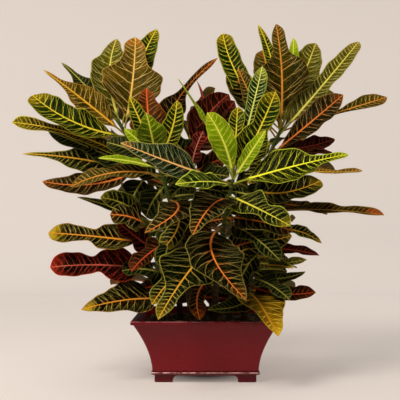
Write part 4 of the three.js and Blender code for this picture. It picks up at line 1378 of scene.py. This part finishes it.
class CrotonLeaves(bpy.types.Operator):
    """Build every leaf with its lobes, waves, veins and stalk"""

    bl_idname = "croton.leaves"
    bl_label = "Leaves"

    def execute(self, context):
        settings = context.scene.croton_leaves
        pattern = vein_pattern(settings)
        materials = {name: leaf_material(name, pattern, settings) for name in COLOURINGS}
        for name, stem in STEMS.items():
            for index, values in enumerate((*stem[3], *INNER_LEAVES.get(name, ())), 1):
                leaf = Leaf(*values)
                material = materials[leaf.colouring]
                made = make_leaf(f"leaf_{name}_{index:02}", stem, leaf, index, material, settings)
                finish_piece(made, "stem_" + name)
        return {"FINISHED"}


def add_light(name, place, size, power, tint, in_reflections):
    """A round soft light that faces the middle of the plant."""
    data = bpy.data.lights.new(name, "AREA")
    data.shape = "DISK"
    data.size = size
    data.energy = power
    data.color = tint
    obj = bpy.data.objects.new(name, data)
    obj.location = place
    obj.rotation_euler = (Vector(PLANT_MIDDLE) - Vector(place)).to_track_quat("-Z", "Y").to_euler()
    obj.visible_glossy = in_reflections
    bpy.context.scene.collection.objects.link(obj)


def paper_material(settings):
    """Pale paper with a painted glow: less near the plant, a little brighter to the left, and none under the
    pot, which paints a contact shadow there.
    """
    material, n, shader = new_material("studio_paper")
    place = n.place()
    x, y, _ = n.split(place)
    pale, shade = ((*[share * c for c in settings.backdrop], 1) for share in (PAPER_SHARE, PAPER_SHADE))
    out = n.math("SQRT", n.plus(n.times(x, x), n.times(y, y)))
    glow = n.steps(out, GLOW_FROM, GLOW_TO, settings.floor_glow, settings.wall_glow)
    # Painted light: the glow grows brighter to the left and fades out under the pot as a painted contact
    # shadow
    glow = n.times(glow, n.line(x, GLOW_SLOPE, 1.0), n.steps(out, SHADE_FROM, SHADE_TO))
    n.fill(shader, {
        "Base Color": n.mix(n.noise(place, 3.0, 2.0), pale, shade),
        "Roughness": 0.85,
        "Emission Color": (*settings.backdrop, 1),
        "Emission Strength": glow,
    })
    return material


def turned(name, profile, material, closed=False):
    """A surface of revolution from radii and levels in metres; closed fills its first ring."""
    angles = [math.tau * i / STUDIO_SIDES for i in range(STUDIO_SIDES)]
    rings = [[(r * math.cos(angle), r * math.sin(angle), z) for angle in angles] for r, z in profile]
    points, faces = loft(rings, closed, False)
    obj = new_object(name, points, faces, material, 1.0)
    obj.data.flip_normals()
    return obj


def add_camera(scene, settings):
    """The photograph's view of the plant."""
    data = bpy.data.cameras.new("camera")
    data.sensor_width = SENSOR_WIDTH
    data.lens = SENSOR_WIDTH * FOCAL_PIXELS / IMAGE_PIXELS
    data.clip_start = 0.05
    data.clip_end = 20
    camera = bpy.data.objects.new("camera", data)
    camera.location = (0, -settings.camera_distance, settings.camera_height)
    up = math.atan2(HORIZON_PIXELS - IMAGE_PIXELS / 2, FOCAL_PIXELS)
    side = math.atan2(CENTRE_PIXELS - IMAGE_PIXELS / 2, FOCAL_PIXELS)
    camera.rotation_euler = (math.pi / 2 + up, 0, side)
    scene.collection.objects.link(camera)
    scene.camera = camera


class CrotonStage(bpy.types.Operator):
    """Build the round pale studio, its soft lights and the camera"""

    bl_idname = "croton.stage"
    bl_label = "Studio and camera"

    def execute(self, context):
        scene = context.scene
        paper = paper_material(scene.croton_stage)
        turned("studio_floor", [(0.05, 0), (STUDIO_RADIUS - STUDIO_CURVE, 0)], paper, closed=True)
        sweep = arc(STUDIO_RADIUS - STUDIO_CURVE, STUDIO_CURVE, STUDIO_CURVE, -90, 0, 12)
        wall = turned("studio_wall", [*sweep, (STUDIO_RADIUS, STUDIO_HEIGHT)], paper)
        wall.visible_diffuse = wall.visible_glossy = wall.visible_shadow = False
        for light in LIGHTS:
            add_light(*light)
        scene.world = bpy.data.worlds.new("studio_air")
        scene.world.use_nodes = True
        air = scene.world.node_tree.nodes["Background"].inputs
        air["Color"].default_value = colour((228, 218, 208))
        air["Strength"].default_value = WORLD_STRENGTH
        scene.view_settings.view_transform = "Standard"
        add_camera(scene, scene.croton_stage)
        return {"FINISHED"}


class CrotonPanel(bpy.types.Panel):
    """The sidebar panel: a button for each step with its settings below"""

    bl_idname = "VIEW3D_PT_croton"
    bl_label = "Potted croton"
    bl_space_type = "VIEW_3D"
    bl_region_type = "UI"
    bl_category = "Croton"

    def draw(self, context):
        for operator, group, names in PANEL_ROWS:
            self.layout.operator(operator)
            for name in names:
                self.layout.prop(getattr(context.scene, group), name)


PANEL_ROWS = (
    ("croton.stage", "croton_stage",
     ("backdrop", "wall_glow", "floor_glow", "camera_distance", "camera_height")),
    ("croton.pot", "croton_pot", ("glaze", "glaze_dark", "glaze_glint", "corner_radius", "wall")),
    ("croton.soil", "croton_soil", ("soil", "moss")),
    ("croton.litter", "croton_soil", ("bits", "tufts")),
    ("croton.stems", "croton_leaves", ()),
    ("croton.leaves", "croton_leaves",
     ("rows", "columns", "edge", "vein_spacing", "vein_width", "rib_width", "gloss")),
)
GROUPS = {
    "croton_pot": PotSettings,
    "croton_soil": SoilSettings,
    "croton_leaves": LeafSettings,
    "croton_stage": StageSettings,
}
OPERATORS = (CrotonStage, CrotonPot, CrotonSoil, CrotonLitter, CrotonStems, CrotonLeaves)


def register():
    for cls in (*GROUPS.values(), *OPERATORS, CrotonPanel):
        bpy.utils.register_class(cls)
    for name, group in GROUPS.items():
        setattr(bpy.types.Scene, name, PointerProperty(type=group))


def unregister():
    for name in GROUPS:
        delattr(bpy.types.Scene, name)
    for cls in reversed((*GROUPS.values(), *OPERATORS, CrotonPanel)):
        bpy.utils.unregister_class(cls)


def main():
    register()
    for operator, _, _ in PANEL_ROWS:
        getattr(bpy.ops.croton, operator.split(".")[1])()
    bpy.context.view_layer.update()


if __name__ == "__main__":
    main()
